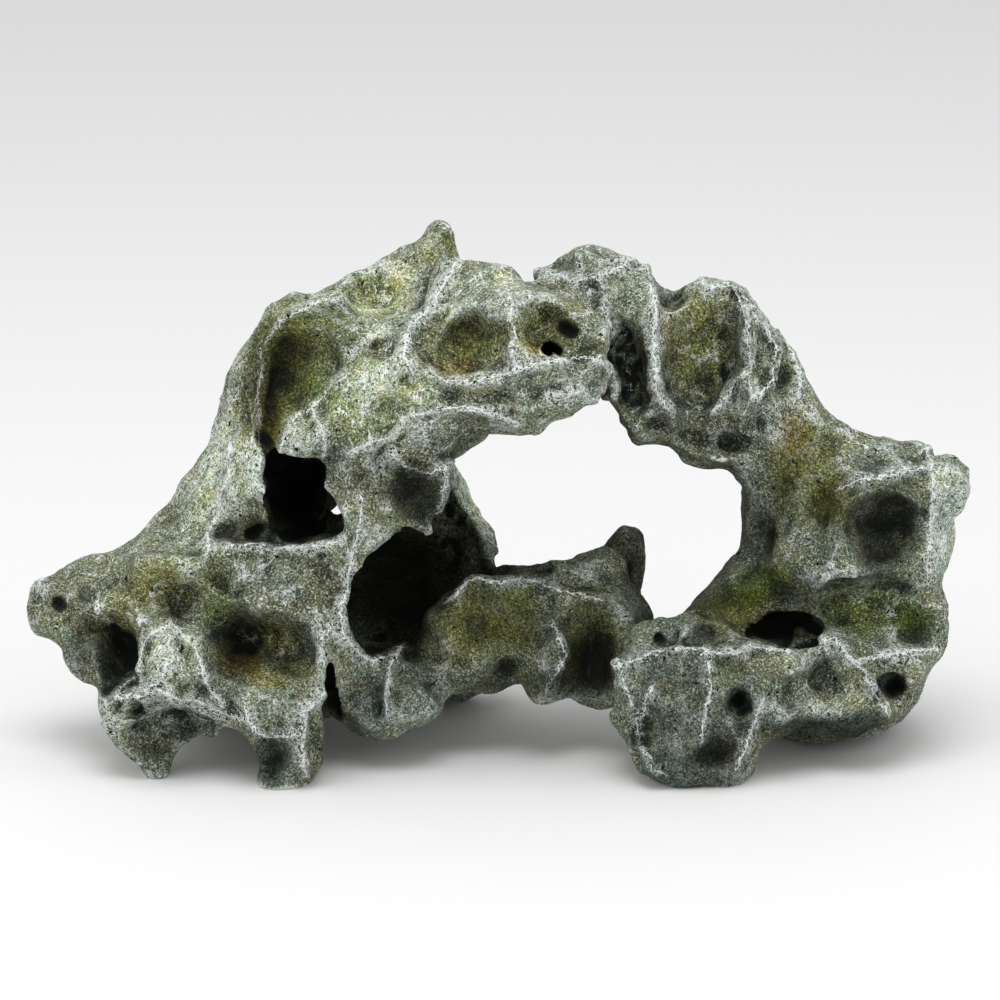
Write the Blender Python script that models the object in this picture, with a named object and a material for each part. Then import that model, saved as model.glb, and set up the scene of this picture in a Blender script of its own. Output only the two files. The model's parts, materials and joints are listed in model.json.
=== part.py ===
"""Holey rock: one eroded, pitted arch of rock with a cave in its left half, for a tank or a terrarium."""

import math

import bmesh
import bpy
from mathutils import Euler, Matrix, Vector

MM = 0.001

# Fineness of the fused and of the carved body, in mm, the rounds of smoothing between them, and the share of
# the carved body's faces that is kept.
FUSE_VOXEL = 2.5
BLEND_ROUNDS = 10
SKIN_VOXEL = 1.6
KEPT_SHARE = 0.05

# Steps of subdivision of a lump and of a hollow, and the steps round a quarter of a limb.
LUMP_LEVEL = 4
HOLLOW_LEVEL = 3
LIMB_STEPS = 4

# Wander of every edge out of true, and small dents all over: spacing and strength, in mm.
DRIFT = (22, 8)
DENTS = (13, 2.5)

# Step from the tables' zero, below the arch, to the middle of the floor under the rock, in mm.
TO_MIDDLE = (0.85, 0.5, 0)

# The block below the floor that leaves the feet flat: its width, depth and height, in mm.
FLOOR_BLOCK = (500, 300, 40)

# Bulky masses, bigger than the finished rock: name, centre and half sizes, in mm.
# X runs to the right, Y to the back and Z up.
LUMPS = [
    # The cave's dome and the slope at its left.
    ("left_dome", (-62, 6, 82), (36, 46, 50)),
    ("left_brow", (-60, -5, 126), (27.5, 40, 28)),
    ("wedge_lip", (-64, -36, 117), (11, 13, 10)),
    ("left_crown", (-45, 22, 132), (28, 30, 25)),
    ("left_skirt", (-76, -14, 44), (38, 42, 33)),
    ("left_front", (-106, -34, 32), (28, 22, 18)),
    ("left_belly", (-128, -12, 40), (20, 22, 20)),
    ("ochre_lip", (-102, -22, 70), (22, 22, 11)),
    ("left_heel", (-92, 22, 26), (34, 30, 28)),
    ("foot_web", (-100, -34, 22), (20, 13, 15)),
    ("left_shoulder", (-89, 24, 107), (8, 14, 18)),
    # The cave's right side and back.
    ("shoulder", (-32, -18, 124), (27, 32, 26)),
    ("upper_lobe", (-26, -32, 101), (12, 12, 9)),
    ("back_wall", (-30, 36, 72), (20, 15, 50)),
    ("wall_foot", (-9.5, 30, 49.5), (12.5, 16, 20)),
    ("back_left_wall", (-54, 36, 42), (28, 16, 38)),
    ("back_heel", (-24, 40, 24), (26, 20, 26)),
    ("pillar_base", (-37, -20, 22), (21, 22, 16)),
    ("base_left", (-48, -27, 30), (8, 12, 18)),
    # The bridge over the arch.
    ("top_knob", (-6, -8, 154), (18, 20, 13)),
    ("bridge_body", (4, -22, 137), (34, 30, 25)),
    ("bridge_root", (-14, -12, 114), (12, 20, 12)),
    ("boulder", (30.5, 12, 152), (21, 22, 15)),
    ("column", (48, 8, 131), (16, 28, 31)),
    ("right_crown", (70, 8, 125), (24, 34, 32)),
    # The right leg.
    ("right_body", (116, 4, 70), (35, 38, 34)),
    ("right_outer", (139, 8, 78), (12, 30, 21)),
    ("right_horn", (147.5, -5, 89), (9.5, 14, 12)),
    ("pit_brow", (120, -16, 90), (24, 18, 8)),
    ("moss_shelf", (120, -8, 48), (28, 24, 14)),
    ("right_corner", (138, -2, 42), (12, 26, 24)),
    ("inner_ledge", (81.5, -6, 41), (20, 26, 14.5)),
    ("inner_root", (82.5, 0, 53), (11, 20, 12)),
    ("right_hill", (114, -16, 28), (31, 30, 20)),
    ("right_base", (113, 10, 15), (30, 34, 20)),
    # The front foot and the rail that joins it to the cave.
    ("front_foot", (62, -36, 28), (28, 25, 28)),
    ("front_toe", (64, -44, 12), (24, 16, 18)),
    ("saddle", (88, -33, 30), (20, 22, 17)),
    ("rail_left", (-6, -8, 40), (20, 24, 21)),
    ("rail_nose", (17, -16, 33), (9, 22, 15)),
    ("rail_middle", (14, 0, 45), (26, 18, 18)),
    ("rail_right", (36, -6, 35), (16, 22, 21)),
    ("rail_root", (30, -4, 26), (14, 18, 14)),
    ("rail_knob", (30, 2, 58), (12, 12, 9)),
]

# Tapered limbs: name and the points (x, y, z, radius) that each runs through, in mm.
LIMBS = [
    ("left_arm", [(-72, 8, 112, 23), (-82, 5, 82, 25), (-100, 2, 60, 24), (-122, -3, 48, 21.5),
                  (-137, -6, 47.5, 17.5), (-148, -6, 46, 11.5)]),
    ("left_foot", [(-114, -28, 48, 16), (-118, -36, 28, 16.5), (-117, -39, 12, 10.5), (-115, -39, 0, 6)]),
    ("middle_foot", [(-68, -38, 38, 18), (-70, -43, 24, 17.5), (-69.5, -45, 11, 16), (-71, -47, 0, 10)]),
    ("pillar", [(-34, -24, 128, 22), (-40, -32, 100, 16), (-46, -34, 76, 9), (-52, -34, 56, 7),
                (-50, -26, 38, 8), (-42, -18, 24, 14)]),
    ("pointed_lobe", [(-22, -18, 104, 9), (-25, -27, 94, 7.5), (-25, -31, 86, 5.5), (-25, -32, 80, 3)]),
    ("bridge_end", [(10, -28, 138, 22), (28, -30, 138, 15), (35, -32, 134, 7)]),
    ("right_arm", [(74, 10, 122, 23), (97, 7, 98, 21), (112, 5, 78, 24)]),
    ("spire", [(38.5, 16, 40, 9), (40, 18, 54, 9), (42, 18, 64, 6.5)]),
    ("horn", [(-30, 30, 146, 14), (-23, 32, 158, 12), (-20, 32, 167, 7.5)]),
]

# Hollows worn out of the masses, so that crisp ridges stand between them: as for the lumps.
HOLLOWS = [
    # Inside the cave, and its ways out.
    ("cave", (-34, 8, 64), (31, 28, 38)),
    ("cave_mouth", (-41, -22, 57), (12, 26, 22)),
    ("cave_side", (-6, 4, 80), (17, 22, 25)),
    ("cave_window", (-67, -24, 101), (10.5, 38, 10)),
    ("cave_window_low", (-64, -24, 90), (12.5, 38, 10)),
    ("window_foot", (-60, -28, 86), (11, 30, 8)),
    ("window_corner", (-86, -42, 85), (11, 16, 9)),
    ("back_window", (-52, 48, 68), (11, 26, 12)),
    # Front of the cave's dome.
    ("plate", (-93, -42, 99), (15, 22, 14)),
    ("left_slope", (-124, -46, 100), (28, 30, 30)),
    ("slope_scoop", (-110, -34, 86), (20, 18, 12)),
    ("face_scoop", (-88, -50, 68), (10, 12, 8)),
    ("shelf_scoop", (-58, -50, 72), (8, 10, 6)),
    # The two left feet.
    ("left_foot_face", (-107, -62, 15), (23, 22, 12)),
    ("foot_gap", (-88, -46, 2), (8, 30, 16)),
    ("foot_gap_left", (-96, -46, -2), (14, 30, 15)),
    ("foot_scoop", (-96, -62, 33), (10, 12, 6)),
    ("middle_foot_left", (-88, -70, 12), (10, 16, 18)),
    ("middle_foot_right", (-49, -70, 28), (9, 14, 16)),
    ("groove", (-55, -50, 20), (2.5, 24, 21)),
    ("left_underside", (-84, 8, -4), (26, 26, 18)),
    # Crown, shoulder and bridge.
    ("crown_trough", (-41, -2, 160), (15, 28, 14)),
    ("crown_pit", (-38, -39, 147), (8.5, 9, 7)),
    ("shoulder_face", (-38, -68, 118), (22, 24, 26)),
    ("ridge_scoop", (-27, -58, 136), (11, 14, 11)),
    ("bridge_hollow_left", (-12, -62, 153), (20, 25, 18)),
    ("bridge_hollow_right", (18, -54, 161), (17, 24, 18)),
    ("bridge_pit", (16, -43, 143), (3.6, 7, 3.2)),
    ("knob_pit", (-3, -27, 167), (8.5, 11, 7)),
    ("bridge_lower", (-6, -62, 129), (14, 16, 5)),
    ("bridge_lower_right", (18, -60, 131), (10, 16, 5)),
    ("bridge_lip", (-24, -60, 122), (10, 14, 8)),
    ("bridge_under", (27, -34, 112), (16, 30, 8)),
    ("bridge_end_scoop", (29, -50, 139), (8, 10, 6)),
    ("bridge_saddle", (15, 4, 165), (10, 22, 9)),
    ("crown_notch", (56, 4, 160), (7, 40, 11)),
    # Pillar and its base.
    ("pillar_scoop", (-44, -58, 94), (11, 14, 14)),
    # Column and right crown.
    ("column_groove", (42, -36, 130), (8, 28, 34)),
    ("column_undercut", (32, 4, 104), (11, 40, 13)),
    ("right_crown_hollow", (67, -34, 138), (17, 30, 60)),
    ("fin_hollow", (84, -28, 140), (6, 18, 16)),
    ("fin_hollow_right", (94, -26, 128), (8, 22, 14)),
    ("crown_under", (74, -24, 104), (11, 16, 6)),
    ("crown_scoop", (86, -32, 113), (8, 12, 8)),
    # The right leg.
    ("arm_valley", (99, -42, 94), (14, 24, 32)),
    ("inner_face", (80, -26, 78), (12, 22, 24)),
    ("brow_scoop", (110, -34, 99), (10, 12, 7)),
    ("right_pit", (127, -48, 83), (18, 28, 17)),
    ("moss_hollow", (127, -45, 56.5), (28, 26, 10.5)),
    ("ledge_cleft", (95, -26, 44), (13.5, 17, 6)),
    ("ledge_hollow", (74, -36, 64), (15, 26, 12)),
    ("hill_face", (105, -62, 31), (14, 19, 12)),
    ("hill_under", (113, -48, 6), (25, 17, 13)),
    ("hill_pit", (130, -46, 28), (8, 13, 6)),
    ("outer_flank", (167, -12, 62), (15, 28, 24)),
    ("outer_low", (168, 24, 40), (20, 18, 17)),
    ("outer_high", (160, 30, 84), (12, 18, 18)),
    # The front foot and the rail.
    ("foot_hole_left", (52, -52, 50), (4, 7, 4)),
    ("foot_hole_right", (70, -50, 53), (8, 12, 7)),
    ("foot_pit", (77, -60, 31), (4.5, 9, 4.5)),
    ("foot_face", (51, -72, 36), (14, 15, 14)),
    ("foot_face_right", (82, -66, 22), (10, 13, 13)),
    ("toe_hollow", (70, -64, 14), (9, 9, 7)),
    ("toe_scoop", (45, -60, 20), (8, 12, 12)),
    ("foot_top_scoop", (58, -40, 58), (9, 12, 6)),
    ("rail_cup", (3, -36, 33), (6, 12, 6)),
    ("rail_face", (-8, -46, 50), (18, 22, 14)),
    ("rail_scoop", (-17, -38, 33), (10, 12, 9)),
    ("rail_top_scoop", (8, -8, 66), (13, 14, 8)),
    ("rail_underside", (-2, -10, 8), (20, 40, 13)),
    # The back.
    ("crown_back", (-66, 46, 150), (20, 18, 17)),
    ("back_crown", (-44, 68, 126), (20, 24, 16)),
    ("back_dome", (-76, 66, 96), (20, 27, 17)),
    ("back_wall_high", (-20, 66, 90), (13, 24, 15)),
    ("back_wall_low", (-22, 74, 38), (19, 26, 17)),
    ("back_heel_hollow", (-90, 68, 32), (22, 28, 19)),
    ("back_slope", (-118, 36, 72), (20, 22, 18)),
    ("back_tip", (-140, 26, 44), (15, 22, 14)),
    ("back_rail", (6, 30, 46), (15, 20, 12)),
    ("back_boulder", (34, 50, 148), (14, 22, 13)),
    ("back_column", (52, 50, 120), (11, 22, 14)),
    ("back_right_crown", (76, 58, 130), (16, 26, 19)),
    ("back_arm", (97, 44, 104), (12, 22, 13)),
    ("back_right_pit", (116, 64, 76), (21, 30, 18)),
    ("back_base", (122, 66, 26), (22, 30, 14)),
    # Under the feet.
    ("right_underside", (118, 8, -4), (22, 26, 17)),
    ("foot_underside", (62, -34, -6), (13, 13, 12)),
    ("heel_underside", (-26, 38, -6), (14, 12, 13)),
]

# Winding hollows: as for the limbs.
GULLIES = [
    ("brow_gully", [(-57, -41, 151, 12), (-62, -43, 142, 17), (-67, -43, 131, 15), (-73, -44, 119, 9),
                    (-75, -44, 108, 6.5)]),
    ("left_gully", [(-130, -42, 68, 5), (-118, -46, 66, 7.5), (-105, -49, 63, 8.5), (-95, -53, 58, 10.5),
                    (-86, -56, 49, 13.5), (-70, -57, 45.5, 13)]),
    ("crevice", [(-137, -38, 60, 10), (-131, -42, 51, 13), (-126, -43, 40, 12.5), (-122, -48, 30, 8)]),
    ("rail_gully", [(27, -34, 52, 6), (29.5, -34, 40, 11), (30.5, -34, 26, 11), (30, -34, 12, 9)]),
]

# Leaning lumps and hollows: turn about X, Y and Z, in degrees.
TURNS = {
    "back_wall": (0, -24, 0),
    "boulder": (0, 10, 0),
}

STONE_COLOUR = (0.156, 0.173, 0.131, 1)
STONE_ROUGHNESS = 0.88


def clear_scene():
    for obj in list(bpy.data.objects):
        bpy.data.objects.remove(obj)


def placed(name, at, radii):
    """The matrix that makes a unit ball into the named ellipsoid, in metres."""
    turn = [math.radians(angle) for angle in TURNS.get(name, (0, 0, 0))]
    size = Matrix.Diagonal((*(Vector(radii) * MM), 1))
    return Matrix.Translation(Vector(at) * MM) @ Euler(turn).to_matrix().to_4x4() @ size


def add_ball(bm, name, at, radii, level):
    bmesh.ops.create_icosphere(bm, subdivisions=level, radius=1, matrix=placed(name, at, radii))


def add_limb(bm, name, points):
    """A tapered round limb through the points, with a ball at each end."""
    curve = bpy.data.curves.new(name, "CURVE")
    curve.dimensions = "3D"
    curve.bevel_depth = MM
    curve.bevel_resolution = LIMB_STEPS
    curve.use_fill_caps = True
    spline = curve.splines.new("BEZIER")
    spline.bezier_points.add(len(points) - 1)
    for knot, (x, y, z, radius) in zip(spline.bezier_points, points):
        knot.co = Vector((x, y, z)) * MM
        knot.radius = radius
        knot.handle_left_type = "AUTO"
        knot.handle_right_type = "AUTO"
    guide = bpy.data.objects.new(name, curve)
    bpy.context.collection.objects.link(guide)
    graph = bpy.context.evaluated_depsgraph_get()
    bm.from_mesh(bpy.data.meshes.new_from_object(guide.evaluated_get(graph)))
    bpy.data.objects.remove(guide)
    for x, y, z, radius in (points[0], points[-1]):
        add_ball(bm, name, (x, y, z), (radius, radius, radius), HOLLOW_LEVEL)


def add_object(name, bm, collection=None):
    mesh = bpy.data.meshes.new(name)
    bm.to_mesh(mesh)
    bm.free()
    mesh.shade_smooth()
    obj = bpy.data.objects.new(name, mesh)
    obj.location = Vector(TO_MIDDLE) * MM
    (collection or bpy.context.collection).objects.link(obj)
    return obj


def add_cutter(name, bm, collection=None):
    cutter = add_object("cut_" + name, bm, collection)
    cutter.hide_render = True
    cutter.display_type = "WIRE"
    return cutter


def make_masses():
    bm = bmesh.new()
    for name, at, radii in LUMPS:
        add_ball(bm, name, at, radii, LUMP_LEVEL)
    for name, points in LIMBS:
        add_limb(bm, name, points)
    return add_object("holey_rock", bm)


def make_hollows():
    hollows = bpy.data.collections.new("hollows")
    bpy.context.scene.collection.children.link(hollows)
    for name, at, radii in HOLLOWS:
        bm = bmesh.new()
        add_ball(bm, name, at, radii, HOLLOW_LEVEL)
        add_cutter(name, bm, hollows)
    for name, points in GULLIES:
        bm = bmesh.new()
        add_limb(bm, name, points)
        # The run and its end balls overlap, so they are fused before they cut.
        add_remesh(add_cutter(name, bm, hollows), "fuse", FUSE_VOXEL)
    return hollows


def make_floor():
    width, depth, height = Vector(FLOOR_BLOCK) * MM
    bm = bmesh.new()
    block = Matrix.Translation((0, 0, -height / 2)) @ Matrix.Diagonal((width, depth, height, 1))
    bmesh.ops.create_cube(bm, size=1, matrix=block)
    return add_cutter("floor", bm)


def add_remesh(rock, name, voxel):
    remesh = rock.modifiers.new(name, "REMESH")
    remesh.mode = "VOXEL"
    remesh.voxel_size = voxel * MM
    remesh.use_smooth_shade = True


def add_wander(rock, name, texture, direction, spacing, strength):
    texture.noise_scale = spacing * MM
    wander = rock.modifiers.new(name, "DISPLACE")
    wander.texture = texture
    wander.texture_coords = "LOCAL"
    wander.direction = direction
    wander.strength = strength * MM
    wander.mid_level = 0.5


def shape(rock):
    add_remesh(rock, "fuse", FUSE_VOXEL)
    blend = rock.modifiers.new("blend", "SMOOTH")
    blend.iterations = BLEND_ROUNDS
    carve = rock.modifiers.new("carve", "BOOLEAN")
    carve.operation = "DIFFERENCE"
    carve.solver = "EXACT"
    carve.operand_type = "COLLECTION"
    carve.collection = make_hollows()
    add_remesh(rock, "skin", SKIN_VOXEL)
    drift = bpy.data.textures.new("drift", "CLOUDS")
    drift.cloud_type = "COLOR"
    add_wander(rock, "drift", drift, "RGB_TO_XYZ", *DRIFT)
    dents = bpy.data.textures.new("dents", "VORONOI")
    dents.distance_metric = "DISTANCE_SQUARED"
    add_wander(rock, "dents", dents, "NORMAL", *DENTS)
    facets = rock.modifiers.new("facets", "DECIMATE")
    facets.ratio = KEPT_SHARE
    stand = rock.modifiers.new("stand", "BOOLEAN")
    stand.operation = "DIFFERENCE"
    stand.solver = "EXACT"
    stand.object = make_floor()


def stone():
    material = bpy.data.materials.new("stone")
    material.use_nodes = True
    shader = material.node_tree.nodes["Principled BSDF"]
    shader.inputs["Base Color"].default_value = STONE_COLOUR
    shader.inputs["Roughness"].default_value = STONE_ROUGHNESS
    shader.inputs["Metallic"].default_value = 0
    return material


def main():
    clear_scene()
    rock = make_masses()
    rock.data.materials.append(stone())
    shape(rock)


main()
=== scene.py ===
"""The looks of the holey rock: its fine surface, its stone, and the light and camera that show it."""

import json
import math

import bmesh
import bpy
import numpy as np
from mathutils import Euler, Matrix, Vector

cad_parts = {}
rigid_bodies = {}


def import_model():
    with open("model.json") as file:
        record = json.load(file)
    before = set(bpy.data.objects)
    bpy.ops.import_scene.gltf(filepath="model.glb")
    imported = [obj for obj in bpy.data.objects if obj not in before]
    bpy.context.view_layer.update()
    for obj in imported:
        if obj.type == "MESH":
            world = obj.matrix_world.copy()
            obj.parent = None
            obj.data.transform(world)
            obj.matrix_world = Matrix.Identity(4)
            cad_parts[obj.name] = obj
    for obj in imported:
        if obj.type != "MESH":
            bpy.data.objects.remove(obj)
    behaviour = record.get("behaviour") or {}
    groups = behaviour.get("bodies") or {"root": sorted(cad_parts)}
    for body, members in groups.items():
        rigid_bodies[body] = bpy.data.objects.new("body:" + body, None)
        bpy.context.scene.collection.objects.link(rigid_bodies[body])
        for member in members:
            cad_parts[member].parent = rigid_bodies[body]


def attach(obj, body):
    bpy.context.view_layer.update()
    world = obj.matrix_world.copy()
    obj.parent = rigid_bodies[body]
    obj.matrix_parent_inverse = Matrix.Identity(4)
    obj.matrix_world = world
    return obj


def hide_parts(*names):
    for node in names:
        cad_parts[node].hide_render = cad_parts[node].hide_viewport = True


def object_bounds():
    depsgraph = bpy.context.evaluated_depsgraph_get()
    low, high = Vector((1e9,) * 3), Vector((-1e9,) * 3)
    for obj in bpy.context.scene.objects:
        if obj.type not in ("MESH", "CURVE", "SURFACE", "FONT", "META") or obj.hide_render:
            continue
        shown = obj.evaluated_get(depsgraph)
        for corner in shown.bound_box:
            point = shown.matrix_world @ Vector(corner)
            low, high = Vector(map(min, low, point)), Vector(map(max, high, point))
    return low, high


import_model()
cad_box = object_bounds()

MM = 0.001

# Fineness of the fused and of the carved body, and the most triangles that the finished rock may have.
FUSE_VOXEL = 2.5
SKIN_VOXEL = 1.0
FINE_VOXEL = 0.85
MOST_TRIANGLES = 190000

# Roundness of the balls, of those at a limb's ends and of the limbs, and rounds of blending the fused masses.
BALL_LEVEL = 4
END_LEVEL = 3
LIMB_LEVEL = 4
BLENDED = 10

# Wander of every edge out of true, and small dents all over: spacing and strength.
DRIFT = (22, 8)
DENTS = (13, 2.5)

# Step from the tables' zero, below the arch, to the middle of the floor under the rock, in mm.
TO_MIDDLE = (0.85, 0.5, 0)

# The photograph's view: where the camera looks, how far it stands off and how high, in mm and degrees, the width
# of the photograph, its pixels to one mm at the rock, the sensor in mm, and the nearest thing seen, in m.
LOOK_AT = (0.85, 0.5, 83)
CAMERA_AWAY = 1400
CAMERA_RISE = 15
PIXELS = 1000
PIXELS_PER_MM = 3
SENSOR = 36
CLIP_START = 0.05

# The studio: lamps (name, power in W and place in m), their width and where they aim, the light from all round,
# and the floor's half width, colour and roughness.
LAMPS = [("key", 14, (0, -0.5, 1.7)), ("left", 6, (-1.5, -0.5, 0.9)), ("right", 4, (1.5, -0.5, 0.9))]
LAMP_WIDTH = 1.2
LAMP_AIM = (0, 0, 0.08)
SKY = 0.75
FLOOR_HALF = 6
FLOOR_COLOUR = (0.8, 0.8, 0.8)
FLOOR_ROUGHNESS = 0.9

# Bulky masses, bigger than the finished rock: name, centre and half sizes, in mm.
# X runs to the right, Y to the back and Z up.
LUMPS = [
    # The cave's dome and the slope at its left.
    ("left_dome", (-62, 6, 82), (36, 46, 50)),
    ("left_brow", (-60, -5, 126), (27.5, 40, 28)),
    ("wedge_lip", (-64, -36, 117), (11, 13, 10)),
    ("left_crown", (-45, 22, 132), (28, 30, 25)),
    ("left_skirt", (-76, -14, 44), (38, 42, 33)),
    ("left_front", (-106, -34, 32), (28, 22, 18)),
    ("left_belly", (-128, -12, 40), (20, 22, 20)),
    ("ochre_lip", (-102, -22, 70), (22, 22, 11)),
    ("left_heel", (-92, 22, 26), (34, 30, 28)),
    ("foot_web", (-100, -34, 22), (20, 13, 15)),
    ("left_shoulder", (-89, 24, 107), (8, 14, 18)),
    # The cave's right side and back.
    ("shoulder", (-32, -18, 124), (27, 32, 26)),
    ("upper_lobe", (-26, -32, 101), (12, 12, 9)),
    ("back_wall", (-30, 36, 72), (20, 15, 50)),
    ("wall_foot", (-9.5, 30, 49.5), (12.5, 16, 20)),
    ("back_left_wall", (-54, 36, 42), (28, 16, 38)),
    ("back_heel", (-24, 40, 24), (26, 20, 26)),
    ("pillar_base", (-37, -20, 22), (21, 22, 16)),
    ("base_left", (-48, -27, 30), (8, 12, 18)),
    # The bridge over the arch.
    ("top_knob", (-6, -8, 154), (18, 20, 13)),
    ("bridge_body", (4, -22, 137), (34, 30, 25)),
    ("bridge_root", (-14, -12, 114), (12, 20, 12)),
    ("boulder", (30.5, 12, 152), (21, 22, 15)),
    ("column", (48, 8, 131), (16, 28, 31)),
    ("right_crown", (70, 8, 125), (24, 34, 32)),
    # The right leg.
    ("right_body", (116, 4, 70), (35, 38, 34)),
    ("right_outer", (139, 8, 78), (12, 30, 21)),
    ("right_horn", (147.5, -5, 89), (9.5, 14, 12)),
    ("pit_brow", (120, -16, 90), (24, 18, 8)),
    ("moss_shelf", (120, -8, 48), (28, 24, 14)),
    ("right_corner", (138, -2, 42), (12, 26, 24)),
    ("inner_ledge", (81.5, -6, 41), (20, 26, 14.5)),
    ("inner_root", (82.5, 0, 53), (11, 20, 12)),
    ("right_hill", (114, -16, 28), (31, 30, 20)),
    ("right_base", (113, 10, 15), (30, 34, 20)),
    # The front foot and the rail that joins it to the cave.
    ("front_foot", (62, -36, 28), (28, 25, 28)),
    ("front_toe", (64, -44, 12), (24, 16, 18)),
    ("saddle", (88, -33, 30), (20, 22, 17)),
    ("rail_left", (-6, -8, 40), (20, 24, 21)),
    ("rail_nose", (17, -16, 33), (9, 22, 15)),
    ("rail_middle", (14, 0, 45), (26, 18, 18)),
    ("rail_right", (36, -6, 35), (16, 22, 21)),
    ("rail_root", (30, -4, 26), (14, 18, 14)),
    ("rail_knob", (30, 2, 58), (12, 12, 9)),
]

# Tapered limbs: name and the points (x, y, z, radius) that each runs through, in mm.
LIMBS = [
    ("left_arm", [(-72, 8, 112, 23), (-82, 5, 82, 25), (-100, 2, 60, 24), (-122, -3, 48, 21.5),
                  (-137, -6, 47.5, 17.5), (-148, -6, 46, 11.5)]),
    ("left_foot", [(-114, -28, 48, 16), (-118, -36, 28, 16.5), (-117, -39, 12, 10.5), (-115, -39, 0, 6)]),
    ("middle_foot", [(-68, -38, 38, 18), (-70, -43, 24, 17.5), (-69.5, -45, 11, 16), (-71, -47, 0, 10)]),
    ("pillar", [(-34, -24, 128, 22), (-40, -32, 100, 16), (-46, -34, 76, 9), (-52, -34, 56, 7),
                (-50, -26, 38, 8), (-42, -18, 24, 14)]),
    ("pointed_lobe", [(-22, -18, 104, 9), (-25, -27, 94, 7.5), (-25, -31, 86, 5.5), (-25, -32, 80, 3)]),
    ("bridge_end", [(10, -28, 138, 22), (28, -30, 138, 15), (35, -32, 134, 7)]),
    ("right_arm", [(74, 10, 122, 23), (97, 7, 98, 21), (112, 5, 78, 24)]),
    ("spire", [(38.5, 16, 40, 9), (40, 18, 54, 9), (42, 18, 64, 6.5)]),
    ("horn", [(-30, 30, 146, 14), (-23, 32, 158, 12), (-20, 32, 167, 7.5)]),
]

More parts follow.
